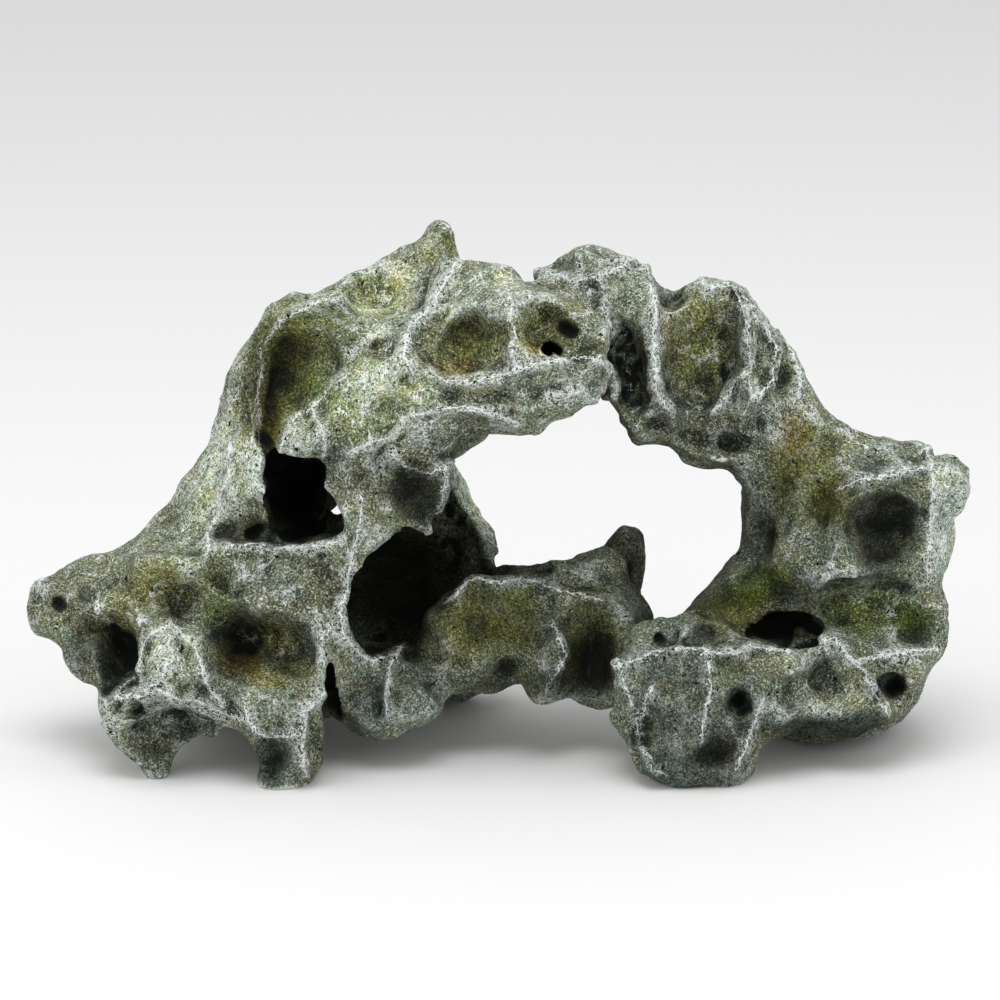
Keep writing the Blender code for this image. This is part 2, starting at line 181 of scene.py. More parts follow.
# Hollows worn out of the masses, so that crisp ridges stand between them: as for the lumps.
HOLLOWS = [
    # Inside the cave, and its ways out.
    ("cave", (-34, 8, 64), (31, 28, 38)),
    ("cave_mouth", (-41, -22, 57), (12, 26, 22)),
    ("cave_side", (-6, 4, 80), (17, 22, 25)),
    ("cave_window", (-67, -24, 101), (10.5, 38, 10)),
    ("cave_window_low", (-64, -24, 90), (12.5, 38, 10)),
    ("window_foot", (-60, -28, 86), (11, 30, 8)),
    ("window_corner", (-86, -42, 85), (11, 16, 9)),
    ("back_window", (-52, 48, 68), (11, 26, 12)),
    # Front of the cave's dome.
    ("plate", (-93, -42, 99), (15, 22, 14)),
    ("left_slope", (-124, -46, 100), (28, 30, 30)),
    ("slope_scoop", (-110, -34, 86), (20, 18, 12)),
    ("face_scoop", (-88, -50, 68), (10, 12, 8)),
    ("shelf_scoop", (-58, -50, 72), (8, 10, 6)),
    # The two left feet.
    ("left_foot_face", (-107, -62, 15), (23, 22, 12)),
    ("foot_gap", (-88, -46, 2), (8, 30, 16)),
    ("foot_gap_left", (-96, -46, -2), (14, 30, 15)),
    ("foot_scoop", (-96, -62, 33), (10, 12, 6)),
    ("middle_foot_left", (-88, -70, 12), (10, 16, 18)),
    ("middle_foot_right", (-49, -70, 28), (9, 14, 16)),
    ("groove", (-55, -50, 20), (2.5, 24, 21)),
    ("left_underside", (-84, 8, -4), (26, 26, 18)),
    # Crown, shoulder and bridge.
    ("crown_trough", (-41, -2, 160), (15, 28, 14)),
    ("crown_pit", (-38, -39, 147), (8.5, 9, 7)),
    ("shoulder_face", (-38, -68, 118), (22, 24, 26)),
    ("ridge_scoop", (-27, -58, 136), (11, 14, 11)),
    ("bridge_hollow_left", (-12, -62, 153), (20, 25, 18)),
    ("bridge_hollow_right", (18, -54, 161), (17, 24, 18)),
    ("bridge_pit", (16, -43, 143), (3.6, 7, 3.2)),
    ("knob_pit", (-3, -27, 167), (8.5, 11, 7)),
    ("bridge_lower", (-6, -62, 129), (14, 16, 5)),
    ("bridge_lower_right", (18, -60, 131), (10, 16, 5)),
    ("bridge_lip", (-24, -60, 122), (10, 14, 8)),
    ("bridge_under", (27, -34, 112), (16, 30, 8)),
    ("bridge_end_scoop", (29, -50, 139), (8, 10, 6)),
    ("bridge_saddle", (15, 4, 165), (10, 22, 9)),
    ("crown_notch", (56, 4, 160), (7, 40, 11)),
    # Pillar and its base.
    ("pillar_scoop", (-44, -58, 94), (11, 14, 14)),
    # Column and right crown.
    ("column_groove", (42, -36, 130), (8, 28, 34)),
    ("column_undercut", (32, 4, 104), (11, 40, 13)),
    ("right_crown_hollow", (67, -34, 138), (17, 30, 60)),
    ("fin_hollow", (84, -28, 140), (6, 18, 16)),
    ("fin_hollow_right", (94, -26, 128), (8, 22, 14)),
    ("crown_under", (74, -24, 104), (11, 16, 6)),
    ("crown_scoop", (86, -32, 113), (8, 12, 8)),
    # The right leg.
    ("arm_valley", (99, -42, 94), (14, 24, 32)),
    ("inner_face", (80, -26, 78), (12, 22, 24)),
    ("brow_scoop", (110, -34, 99), (10, 12, 7)),
    ("right_pit", (127, -48, 83), (18, 28, 17)),
    ("moss_hollow", (127, -45, 56.5), (28, 26, 10.5)),
    ("ledge_cleft", (95, -26, 44), (13.5, 17, 6)),
    ("ledge_hollow", (74, -36, 64), (15, 26, 12)),
    ("hill_face", (105, -62, 31), (14, 19, 12)),
    ("hill_under", (113, -48, 6), (25, 17, 13)),
    ("hill_pit", (130, -46, 28), (8, 13, 6)),
    ("outer_flank", (167, -12, 62), (15, 28, 24)),
    ("outer_low", (168, 24, 40), (20, 18, 17)),
    ("outer_high", (160, 30, 84), (12, 18, 18)),
    # The front foot and the rail.
    ("foot_hole_left", (52, -52, 50), (4, 7, 4)),
    ("foot_hole_right", (70, -50, 53), (8, 12, 7)),
    ("foot_pit", (77, -60, 31), (4.5, 9, 4.5)),
    ("foot_face", (51, -72, 36), (14, 15, 14)),
    ("foot_face_right", (82, -66, 22), (10, 13, 13)),
    ("toe_hollow", (70, -64, 14), (9, 9, 7)),
    ("toe_scoop", (45, -60, 20), (8, 12, 12)),
    ("foot_top_scoop", (58, -40, 58), (9, 12, 6)),
    ("rail_cup", (3, -36, 33), (6, 12, 6)),
    ("rail_face", (-8, -46, 50), (18, 22, 14)),
    ("rail_scoop", (-17, -38, 33), (10, 12, 9)),
    ("rail_top_scoop", (8, -8, 66), (13, 14, 8)),
    ("rail_underside", (-2, -10, 8), (20, 40, 13)),
    # The back.
    ("crown_back", (-66, 46, 150), (20, 18, 17)),
    ("back_crown", (-44, 68, 126), (20, 24, 16)),
    ("back_dome", (-76, 66, 96), (20, 27, 17)),
    ("back_wall_high", (-20, 66, 90), (13, 24, 15)),
    ("back_wall_low", (-22, 74, 38), (19, 26, 17)),
    ("back_heel_hollow", (-90, 68, 32), (22, 28, 19)),
    ("back_slope", (-118, 36, 72), (20, 22, 18)),
    ("back_tip", (-140, 26, 44), (15, 22, 14)),
    ("back_rail", (6, 30, 46), (15, 20, 12)),
    ("back_boulder", (34, 50, 148), (14, 22, 13)),
    ("back_column", (52, 50, 120), (11, 22, 14)),
    ("back_right_crown", (76, 58, 130), (16, 26, 19)),
    ("back_arm", (97, 44, 104), (12, 22, 13)),
    ("back_right_pit", (116, 64, 76), (21, 30, 18)),
    ("back_base", (122, 66, 26), (22, 30, 14)),
    # Under the feet.
    ("right_underside", (118, 8, -4), (22, 26, 17)),
    ("foot_underside", (62, -34, -6), (13, 13, 12)),
    ("heel_underside", (-26, 38, -6), (14, 12, 13)),
]

# Winding hollows: as for the limbs.
GULLIES = [
    ("brow_gully", [(-57, -41, 151, 12), (-62, -43, 142, 17), (-67, -43, 131, 15), (-73, -44, 119, 9),
                    (-75, -44, 108, 6.5)]),
    ("left_gully", [(-130, -42, 68, 5), (-118, -46, 66, 7.5), (-105, -49, 63, 8.5), (-95, -53, 58, 10.5),
                    (-86, -56, 49, 13.5), (-70, -57, 45.5, 13)]),
    ("crevice", [(-137, -38, 60, 10), (-131, -42, 51, 13), (-126, -43, 40, 12.5), (-122, -48, 30, 8)]),
    ("rail_gully", [(27, -34, 52, 6), (29.5, -34, 40, 11), (30.5, -34, 26, 11), (30, -34, 12, 9)]),
]

# Leaning lumps and hollows: turn about X, Y and Z, in degrees.
TURNS = {
    "back_wall": (0, -24, 0),
    "boulder": (0, 10, 0),
}

# How the wall of a worn-in place falls: steepness, and how square its plan is.
SOFT = (2, 2)
BOWL = (1, 2)
STEEP = (0.5, 2)
SQUARE = (0.35, 4)

# Worn-in and raised places on the side that the photograph shows, each placed by a pixel of it: name, pixel x and y,
# half width and half height in mm, turn in degrees, depth in mm (minus stands out), wall, and, where it leans, how
# far its deepest point is to the right and down (1 is its edge).
RELIEF = [
    # The cave's dome.
    ("brow_deep", 278, 365, 15, 26, 16, 8, SOFT, (-0.3, 0.2)),
    ("brow_slope", 296, 365, 21, 30, 22, 5, BOWL, (-0.5, 0.1)),
    ("window", 293, 500, 10.5, 14.5, 0, 16, SQUARE),
    ("window_corner", 276, 535, 11, 3, 0, 8, STEEP),
    ("sill_hollow", 238, 530, 9, 5.5, -14, 5, BOWL, (0.4, 0.4)),
    ("lip_pit", 310, 417, 2.4, 3, 20, 3, BOWL),
    ("brow_channel", 268, 428, 5, 14, 0, 5, SOFT),
    ("spur", 302, 432, 7, 11, 0, -2.5, SOFT),
    ("second_left", 272, 752, 7, 13, 0, 3, BOWL, (0.4, 0)),
    ("plate", 232, 476, 11, 9, 0, 2, SOFT, (0.3, 0)),
    ("slope_flute", 222, 520, 7, 15, 20, 2.5, SOFT),
    ("slope_flute_low", 165, 545, 9, 7, -25, 2, SOFT),
    ("tip_pit", 57, 603, 3, 3, 0, 3, BOWL),
    ("crevice_deep", 104, 650, 14, 17, -8, 8, SOFT, (0.6, 0)),
    ("tip_under", 78, 628, 12, 9, 25, 4, SOFT, (0.2, 0.2)),
    ("crevice_foot", 134, 708, 6, 5.5, 0, -5, SOFT),
    # The ochre hollow and the pit under it.
    ("crumbs_left", 215, 577, 7, 5, 15, 2.2, BOWL),
    ("crumbs_middle", 256, 592, 8, 5, -10, 2.2, BOWL),
    ("crumbs_right", 322, 568, 5, 7, 0, 2, BOWL),
    ("ochre_low", 232, 655, 11, 10, 10, 6, BOWL),
    # The left feet.
    ("foot_shadow", 178, 722, 24, 9, -6, 6, SOFT, (0, -0.5)),
    ("foot_tip_dark", 150, 748, 9, 7, 0, 2, SOFT),
    ("second_dark", 268, 760, 8, 12, 0, 5, SOFT, (0.4, 0)),
    ("second_right", 314, 724, 5, 9, 0, 2, BOWL),
    # The shoulder and the pillar.
    ("shoulder_dish", 395, 395, 14, 9, -32, 2, SOFT),
    ("shoulder_fall", 372, 470, 9, 12, 0, 2, SOFT),
    ("lobe_dark", 418, 493, 9.5, 12, 12, 6, BOWL, (0.2, 0.2)),
    ("lobe_top", 392, 474, 8, 6, -20, 4, SOFT, (0.2, 0)),
    ("pillar_flute", 352, 560, 4, 16, 0, 1.5, BOWL),
    ("crown_pit", 376, 338, 9, 6, -38, 3, SOFT, (-0.3, 0.4)),
    ("crown_trough", 376, 300, 12, 9, -35, 4, SOFT, (0, 0.3)),
    ("crown_dimple", 386, 301, 2, 1.5, 0, 1.5, BOWL),
    # The top knob and the bridge.
    ("knob_pit", 498, 284, 9, 6, 0, 2, SOFT, (0.2, -0.4)),
    ("bridge_left", 468, 343, 20, 13, 2, 8, BOWL, (0, 0.55)),
    ("bridge_right", 557, 328, 16, 12, 10, 8, BOWL, (-0.1, 0.5)),
    ("bridge_pit_low", 549, 350, 5, 3.2, 10, 5, BOWL),
    ("bridge_pit_high", 568, 327, 4.5, 2.8, 25, 4, BOWL),
    ("bridge_shelf", 585, 350, 8, 3, -8, 3, BOWL, (0, 0.6)),
    ("bridge_left_dots", 440, 366, 1.6, 1.6, 0, 2, BOWL),
    ("bridge_mid_dot", 472, 371, 1.6, 1.4, 0, 2, BOWL),
    ("bridge_face_a", 470, 396, 12, 4, 4, 2, BOWL, (0, 0.4)),
    ("bridge_face_b", 520, 393, 9, 5, -8, 2, BOWL, (0, 0.3)),
    ("bridge_face_c", 568, 380, 7, 4, 0, 1.4, BOWL),
    ("bridge_face_d", 600, 380, 4, 5, 0, 1.2, BOWL),
    ("bridge_soffit", 470, 425, 16, 4, 6, 2, BOWL, (0, -0.4)),
    # The boulder, the column and the right crown.
    ("boulder_top", 583, 262, 10, 4, 0, 1.2, BOWL),
    ("boulder_side", 632, 285, 5, 8, 0, 1.5, BOWL),
    ("column_dark", 628, 372, 8, 20, -4, 5, BOWL, (0.3, 0)),
    ("column_top", 622, 318, 6, 10, 0, 2, BOWL, (0.5, 0)),
    ("crown_floor", 700, 350, 14.5, 20, 0, 5, SQUARE),
    ("crown_right", 734, 345, 5, 18, 0, 5, STEEP, (0.3, 0)),
    ("crown_low_pit", 657, 425, 6, 4.5, 0, 4, SOFT),
    ("fin_a", 765, 345, 4, 13, 8, 3, BOWL, (-0.5, 0)),
    ("fin_b", 788, 360, 4.5, 12, 14, 3, BOWL, (-0.5, 0)),
    ("crown_small", 752, 420, 6, 6, 0, 3, SOFT),
    ("crown_soffit", 700, 440, 18, 4, 4, 3, BOWL, (0, -0.5)),
    # The right leg.
    ("arm_ochre", 812, 470, 12, 22, -14, 3, SOFT),
    ("inner_dark", 770, 520, 9, 20, 14, 6, SOFT, (0.4, 0)),
    ("right_pit", 881, 520, 27, 28, 0, 6, SOFT, (0.3, 0)),
    ("right_pit_deep", 886, 532, 15, 16, 0, 5, SOFT, (0.3, 0)),
    ("right_pit_left", 852, 512, 8, 12, 15, 3, SOFT),
    ("right_pit_low", 868, 556, 10, 6, 10, 3, SOFT),
    ("right_pit_lump", 872, 508, 6, 5, 0, -2.5, SOFT),
    ("horn_flat", 912, 465, 7, 6, 0, 1.5, BOWL),
    ("flank", 950, 515, 4, 14, 0, 1.5, BOWL),
    ("hill_pit", 897, 688, 5, 4.5, 0, 5, BOWL, (0, -0.3)),
    ("hill_face_left", 820, 690, 14, 13, -20, 6, SOFT, (0.3, -0.2)),
    ("hill_slab", 895, 668, 9, 5, 8, 2, SOFT),
    ("hill_cut", 915, 640, 6, 8, 20, 2, BOWL),
    # The front foot.
    ("foot_hole_a", 660, 640, 3, 2.5, 0, 4, BOWL),
    ("foot_hole_b", 688, 645, 3.6, 2.8, 0, 3, BOWL),
    ("foot_hole_c", 706, 630, 4, 3, 0, 3, BOWL),
    ("foot_hole_d", 640, 652, 2.4, 2, 0, 2, BOWL),
    ("foot_pit", 739, 706, 5, 4.2, 0, 6, BOWL, (0, -0.3)),
    ("foot_pit_rim", 738, 700, 7, 6, 0, 2, SOFT),
    ("foot_left", 634, 692, 8, 14, -6, 4, SOFT, (0.4, 0)),
    ("foot_low", 716, 760, 14, 9, 0, 5, SOFT, (0, -0.4)),
    ("foot_low_left", 655, 760, 8, 6, 0, 2, BOWL, (0, -0.4)),
    ("saddle", 775, 690, 10, 13, 0, 4, SOFT),
    # The rail.
    ("rail_face", 486, 622, 17, 13, 0, 4, BOWL, (0.3, 0.3)),
    ("rail_dark", 594, 660, 8, 20, 4, 7, SOFT, (0.2, 0)),
    ("rail_hollow", 510, 672, 10, 5, 0, 3, SOFT, (0, -0.4)),
    ("rail_bite", 540, 600, 7, 7, 0, 3, BOWL, (0.4, 0)),
    ("rail_knob_a", 575, 585, 7, 5, 0, 2.5, BOWL, (0, 0.4)),
    ("rail_knob_b", 604, 575, 5, 4, 0, 1.5, BOWL, (0, 0.4)),
    ("base_bite", 365, 700, 7, 9, 0, 4, BOWL, (0.5, 0)),
    ("base_right", 415, 690, 8, 10, 0, 4, BOWL, (-0.5, 0)),
    ("cave_rim", 372, 655, 8, 3, 0, 2, BOWL),
]

# Winding hollows: name, wall, and the run of each as pixel x, pixel y, half width and depth in mm.
VALLEYS = [
    ("ochre_valley", SOFT, [(80, 590, 6, 1), (120, 596, 10, 5), (168, 590, 11, 7), (208, 606, 12, 7),
                              (240, 636, 13, 8), (292, 648, 12, 5)]),
    ("crevice", BOWL, [(92, 600, 6, 2), (112, 624, 9, 7), (130, 655, 10, 8), (122, 690, 7, 3)]),
    ("left_pit_deep", BOWL, [(222, 632, 7, 3), (255, 638, 9, 6), (296, 645, 7, 3)]),
    ("moss_valley", BOWL, [(700, 612, 6, 2), (740, 620, 7, 3)]),
    ("moss_right", BOWL, [(825, 618, 8, 4), (870, 620, 9, 6), (925, 630, 8, 4)]),
    ("hill_dark", BOWL, [(815, 668, 7, 2), (838, 690, 9, 5), (862, 706, 6, 3)]),
]

# Worn crests: name, half width and height in mm, and the pixels that each runs through.
CRESTS = [
    ("brow_rim", 3, 2, [(258, 470), (259, 400), (262, 350), (280, 318), (318, 303), (345, 297)]),
    ("brow_lip", 3, 1.8, [(345, 372), (320, 400), (312, 408), (290, 424), (280, 452)]),
    ("spur_edge", 2.5, 1.8, [(312, 408), (322, 432), (324, 456)]),
    ("slope_edge", 2.5, 1.4, [(232, 440), (226, 480), (214, 520), (205, 552)]),
    ("window_sill", 3, 1.4, [(228, 545), (262, 543), (300, 546), (338, 541)]),
    ("shoulder_ridge", 3.5, 2.2, [(455, 265), (425, 314), (406, 334), (402, 358), (414, 376)]),
    ("bridge_edge", 3.5, 2.4, [(351, 452), (393, 434), (415, 416), (434, 408), (461, 407), (489, 411), (516, 424)]),
    ("bridge_rim", 3, 2.4, [(431, 369), (448, 382), (470, 382), (491, 375), (511, 370), (541, 362), (560, 359)]),
    ("bridge_end", 3, 2, [(560, 359), (590, 358), (612, 372), (616, 392), (605, 400), (575, 394), (548, 394)]),
    ("bridge_divide", 3, 1.8, [(512, 370), (514, 345), (510, 318), (507, 294)]),
    ("boulder_edge", 3, 1.6, [(547, 272), (572, 280), (600, 276), (616, 268), (640, 257)]),
    ("boulder_side", 3, 1.6, [(600, 276), (606, 300), (612, 330)]),
    ("column_edge", 3, 2.2, [(650, 270), (655, 300), (655, 350), (657, 388), (668, 410)]),
    ("crown_rim", 3, 2.2, [(700, 283), (732, 288), (748, 322), (748, 366), (733, 390), (715, 412)]),
    ("fin", 2.5, 2.2, [(752, 305), (776, 345), (772, 380), (760, 400)]),
    ("fin_right", 2.5, 2, [(780, 330), (802, 372), (800, 400)]),
    ("pit_brow", 3.5, 2.2, [(838, 492), (860, 478), (895, 474), (925, 470)]),
    ("horn_rim", 3, 2.2, [(925, 448), (934, 480), (932, 530), (928, 575)]),
    ("foot_one", 4, 2.4, [(170, 622), (172, 660), (160, 685), (112, 702)]),
    ("foot_one_left", 3, 2.4, [(170, 622), (145, 640), (137, 670), (112, 702)]),
    ("foot_one_right", 3, 2, [(172, 622), (192, 640), (205, 680), (222, 700)]),
    ("foot_one_edge", 4, 2, [(112, 702), (160, 693), (215, 708), (240, 720)]),
    ("foot_two_edge", 3, 2.6, [(330, 690), (305, 712), (302, 745), (306, 775)]),
    ("foot_two_left", 3, 1.6, [(240, 700), (252, 728), (262, 735), (300, 735)]),
    ("pillar_base", 3.5, 2.4, [(400, 648), (388, 680), (386, 712)]),
    ("cave_lip", 3, 2, [(338, 600), (345, 640), (372, 663), (402, 650)]),
    ("pillar_rim", 3, 2, [(362, 500), (352, 560), (338, 610)]),
    ("lobe_rim", 2.5, 2, [(390, 452), (410, 470), (432, 476), (447, 462)]),
    ("lobe_edge", 2.5, 1.8, [(447, 462), (441, 500), (430, 532)]),
    ("rail_nose", 3, 2.6, [(552, 622), (566, 655), (548, 690)]),
    ("rail_top", 3, 1.8, [(448, 600), (470, 582), (520, 578), (560, 590), (600, 600)]),
    ("hill_crest", 4, 3.2, [(800, 640), (836, 640), (862, 672), (886, 715)]),
    ("hill_left", 3.5, 2.4, [(745, 646), (790, 652), (802, 640)]),
    ("hill_tail", 3, 2, [(862, 660), (900, 655), (935, 650)]),
    ("front_foot_edge", 3, 1.8, [(618, 660), (628, 690), (640, 740), (660, 775)]),
    ("foot_top", 3, 2.2, [(612, 668), (650, 652), (690, 650), (745, 652)]),
    ("foot_spine", 3, 2, [(705, 652), (710, 690), (702, 740)]),
    ("foot_arc", 3, 1.8, [(655, 690), (640, 715), (640, 745), (652, 770)]),
    ("foot_right", 3, 1.8, [(765, 700), (752, 735), (738, 765)]),
]

# Hues of the tints, each of the same brightness.
PLAIN = (1, 1, 1)
OCHRE = (1.10, 1.02, 0.48)
OLIVE = (0.99, 1.04, 0.66)
MOSS = (0.93, 1.07, 0.42)
RUST = (1.32, 0.95, 0.45)
UMBER = (1.12, 1.0, 0.5)
SLATE = (0.95, 1.0, 1.14)

# Tints on the side that the photograph shows: colour, pixel x and y, half width and half height in mm, turn in
# degrees, strength, and how bright the place is painted beside the rest: partly the stone's own paint, partly painted
# light and shade, such as the dark inside the window, the cave, the cleft and under the hill, and the brightened left
# slope and right flank.
TINTS_AND_PAINTED_LIGHT = [
    # The dome, its hollow and the left slope.
    (OLIVE, 303, 350, 24, 30, 15, 0.9, 0.5),
    (UMBER, 274, 382, 15, 33, 12, 0.9, 0.45),
    (MOSS, 322, 395, 8, 10, -35, 0.5, 0.9),
    (PLAIN, 232, 470, 18, 32, 15, 1, 1.8),
    (PLAIN, 290, 300, 26, 6, -10, 1, 1.3),
    (OLIVE, 225, 480, 10, 24, 12, 0.3, 1),
    (OCHRE, 300, 470, 12, 4, 0, 0.4, 1),
    (PLAIN, 238, 533, 12, 6, -10, 1, 0.35),
    (PLAIN, 300, 500, 14, 17, 0, 1, 0.02),
    # The lower left.
    (OCHRE, 165, 583, 20, 11, 0, 1, 1.25),
    (MOSS, 215, 600, 8, 12, 15, 0.8, 1),
    (UMBER, 262, 640, 18, 10, 5, 1, 1.5),
    (RUST, 238, 662, 12, 7, 18, 1, 0.6),
    (OCHRE, 285, 675, 15, 6, -4, 0.8, 0.9),
    (OLIVE, 200, 560, 14, 8, 0, 0.6, 0.9),
    (UMBER, 118, 625, 10, 14, -20, 0.8, 1.8),
    (PLAIN, 85, 640, 10, 12, 20, 1, 0.5),
    (PLAIN, 60, 600, 12, 9, 0, 1, 0.8),
    (PLAIN, 178, 655, 13, 15, 0, 1, 1.9),
    (SLATE, 165, 722, 24, 9, -4, 1, 1.45),
    (SLATE, 274, 760, 10, 14, 0, 1, 0.6),
    (UMBER, 268, 425, 6, 16, 0, 1, 0.25),
    (PLAIN, 302, 428, 8, 12, 0, 1, 1.6),
    (PLAIN, 320, 740, 4, 10, 0, 1, 0.6),
    # The crown, the knob and the bridge.
    (OCHRE, 382, 296, 20, 12, -20, 0.6, 3.2),
    (OCHRE, 440, 245, 9, 10, 0, 0.7, 1),
    (OLIVE, 375, 400, 26, 20, -30, 0.7, 1.6),
    (PLAIN, 378, 335, 7, 5, -30, 1, 2),
    (PLAIN, 498, 280, 8, 6, 0, 1, 2),
    (OCHRE, 465, 343, 17, 12, 0, 1, 0.6),
    (MOSS, 452, 318, 8, 5, 0, 0.4, 1),
    (RUST, 455, 368, 12, 4, 0, 0.8, 0.9),
    (OCHRE, 540, 335, 18, 12, 5, 0.9, 0.85),
    (UMBER, 560, 312, 12, 7, 0, 0.6, 0.9),
    (RUST, 530, 350, 8, 5, 0, 0.6, 1),
    (PLAIN, 600, 268, 20, 8, 0, 1, 0.78),
    (PLAIN, 628, 370, 9, 22, -4, 1, 2),
    # The right crown, arm and pit.
    (OCHRE, 700, 345, 14, 22, 0, 1, 0.95),
    (RUST, 668, 320, 3, 8, 0, 0.5, 1),
    (OCHRE, 808, 470, 16, 25, -12, 0.9, 0.55),
    (RUST, 800, 430, 7, 12, 0, 0.7, 0.9),
    (PLAIN, 880, 522, 25, 26, 0, 0.85, 0.25),
    (OCHRE, 835, 500, 10, 10, 0, 0.6, 0.7),
    (PLAIN, 768, 515, 11, 26, 10, 1, 0.7),
    (SLATE, 900, 460, 20, 9, -4, 1, 1.25),
    (SLATE, 948, 525, 8, 24, 0, 1, 2.3),
    # The ledge, the moss and the hill.
    (MOSS, 757, 588, 17, 8, -25, 1, 0.5),
    (OCHRE, 728, 610, 17, 9, 0, 0.8, 0.5),
    (MOSS, 868, 612, 22, 10, 0, 1, 1.4),
    (MOSS, 915, 625, 8, 8, 0, 0.8, 0.4),
    (UMBER, 780, 625, 16, 6, 0, 1, 0.2),
    (SLATE, 842, 732, 34, 9, 0, 1, 0.2),
    (PLAIN, 828, 690, 14, 13, -10, 1, 2),
    (PLAIN, 890, 665, 17, 8, 0, 1, 1.1),
    (SLATE, 580, 378, 14, 8, 0, 1, 1.15),
    (PLAIN, 778, 360, 9, 18, 0, 1, 0.7),
    # The front foot.
    (SLATE, 688, 708, 30, 38, 0, 0.9, 0.66),
    (MOSS, 725, 675, 8, 7, 0, 0.5, 0.8),
    (SLATE, 690, 772, 26, 11, 0, 1, 0.62),
    (UMBER, 712, 755, 9, 5, 0, 0.6, 0.5),
    # The rail and the cave.
    (OCHRE, 485, 622, 24, 18, 0, 0.9, 0.5),
    (MOSS, 520, 600, 7, 9, 0, 0.5, 1),
    (OCHRE, 592, 640, 11, 20, 0, 0.9, 0.25),
    (PLAIN, 595, 665, 8, 12, 0, 1, 0.2),
    (PLAIN, 620, 575, 9, 14, 0, 1, 0.9),
    (SLATE, 553, 655, 6, 14, 0, 1, 0.7),
    (PLAIN, 520, 685, 30, 6, 0, 1, 0.45),
    (UMBER, 400, 580, 20, 26, 0, 0.7, 0.12),
    (PLAIN, 465, 515, 12, 24, -10, 1, 4),
    (PLAIN, 403, 488, 9, 7, -20, 1, 0.3),
    (MOSS, 395, 535, 8, 12, 0, 0.3, 1),
    (PLAIN, 380, 485, 14, 18, 0, 1, 0.7),
    (PLAIN, 419, 494, 11, 14, 0, 1, 0.2),
    (SLATE, 400, 705, 24, 16, 0, 1, 0.85),
]

# The stone's dark, middling and pale colours, its wear, the near-black of the vein net's pockets and of the painted
# shade in dim places and dips, beside crest lines and in pinholes, and the warm and cool tones that vary it.
STONE_DARK = (0.062, 0.070, 0.050)
STONE_MIDDLE = (0.127, 0.144, 0.098)
STONE_PALE = (0.209, 0.234, 0.163)
WORN = (0.79, 0.84, 0.82)
NEAR_BLACK_AND_PAINTED_SHADE = (0.010, 0.012, 0.009)
WARM = (1.06, 0.99, 0.88)
COOL = (0.955, 1.01, 1.05)
STONE_ROUGHNESS = 0.9
STONE_SHEEN = 0.08

# Noise in the stone: size in mm, detail and roughness.
NOISES = dict(
    blotch=(24, 4, 0.6), cloud=(8, 3, 0.6), tone=(9, 3, 0.5), patch=(14, 2, 0.5), speckle=(1.3, 3, 0.7),
    sand=(0.6, 1, 0.5), web=(2.3, 3, 0.6), web_fine=(1.1, 2, 0.5), wind=(2.2, 3, 0.7), wind_back=(1.5, 2, 0.6),
    breaks=(4, 3, 0.7), shake=(4, 3, 0.5),
)

# How the finish answers to noise, light and shape: from, to, and what they become where that isn't 0 and 1.
# Among these, the painted light that pales the stone towards the top, and the painted shade where little daylight
# gets in and in dips.
RAMPS = dict(
    blotch=(0.38, 0.62), cloud=(0.34, 0.56, 0.25, 0), tone=(0.4, 0.6), painted_top_light=(0.01, 0.15, 0.85, 1.15),
    dim_painted_shade=(0.65, 0.05, 0, 0.7), dip_painted_shade=(0.15, 1, 0, 0.6), painted_shade_speckle=(0.3, 0.7, 0.1, -0.1),
    line_light=(0.1, 0.45, 0, 0.95), vein=(0.024, 0.008), vein_fine=(0.04, 0.012, 0, 0.6),
    proud_rim=(5, 1, 0, 1.2), patch=(0.36, 0.64, -1, 0.8), proud_bright=(0.9, 1.6, 0, 0.6), veined=(0.1, 1.5),
    pockets=(0.46, 0.4, 0, 0.7), ridge_speckle=(0.35, 0.65, -0.8, 0.8), ridge=(1.6, 2.4, 0, 0.8),
    specks=(0.58, 0.68, 0, 0.35), wear_light=(0.2, 0.6), wear_bright=(0.3, 1, 0.03, 0.95), hole=(0.2, 0.13),
    hole_pick=(0.7, 0.74),
)

# Two things added up in these shares: middling and fine form in dips, fine and middling form in proud places and
# ridges, and speckle and sand in the bump.
SHARES = dict(dip=(-0.8, -1.5), proud=(2.2, 0.7), ridge=(4, 0.35), bump=(0.6, 0.4))

# How strongly the painted shade darkens where less daylight reaches, and the contrast of the grain.
PAINTED_SHADE_POWER = 0.6
SPECKLE_CONTRAST = 18
SAND_CONTRAST = 75

# Lines along the crests of the coarse and the middling shells and of the table: width in mm, the noise above
# which a line is whole, and the painted light and tone where it starts to show. Then what winds a crest's two lines:
# noise, swing in widths, and share of the width.
CREST_LINES = ((0.15, 0.52, 0.45), (0.07, 0.55, 0.45), (0.28, 0.4, 0.1))
WINDS = (("wind", 15, 1), ("wind_back", 28, 0.75))
# How far from its crest a line stays whole, in widths, how softly it breaks and dims, and what is left where it
# is dim.
LINE_REACH = 5
BREAK_SOFTNESS = 0.04
DIM_SOFTNESS = 0.6
DIM_LEAST = 0.05
# The painted shade beside a line: how far off it is, in widths, and how strong.
SHADE_OFF = 2.2
LINE_SHADE = 0.6

# Pinholes: spacing and shake in mm, and depth as a share of the bump. The bump's strength, and its height in mm.
HOLE_SPACING = 3.4
HOLE_SHAKE = 5
HOLE_SHARE = 0.6
BUMP_STRENGTH = 0.8
BUMP_HEIGHT = 0.6

# How wear and shade are read from the shape: rounds of smoothing for fine and middling form, and the directions,
# and the square and allowance in mm, of the daylight that reaches each place.
FINE_ROUNDS = 3
MIDDLE_ROUNDS = 14
DAYLIGHT_RAYS = 80
DAYLIGHT_SQUARE = 1.6
DAYLIGHT_SLACK = 2.4

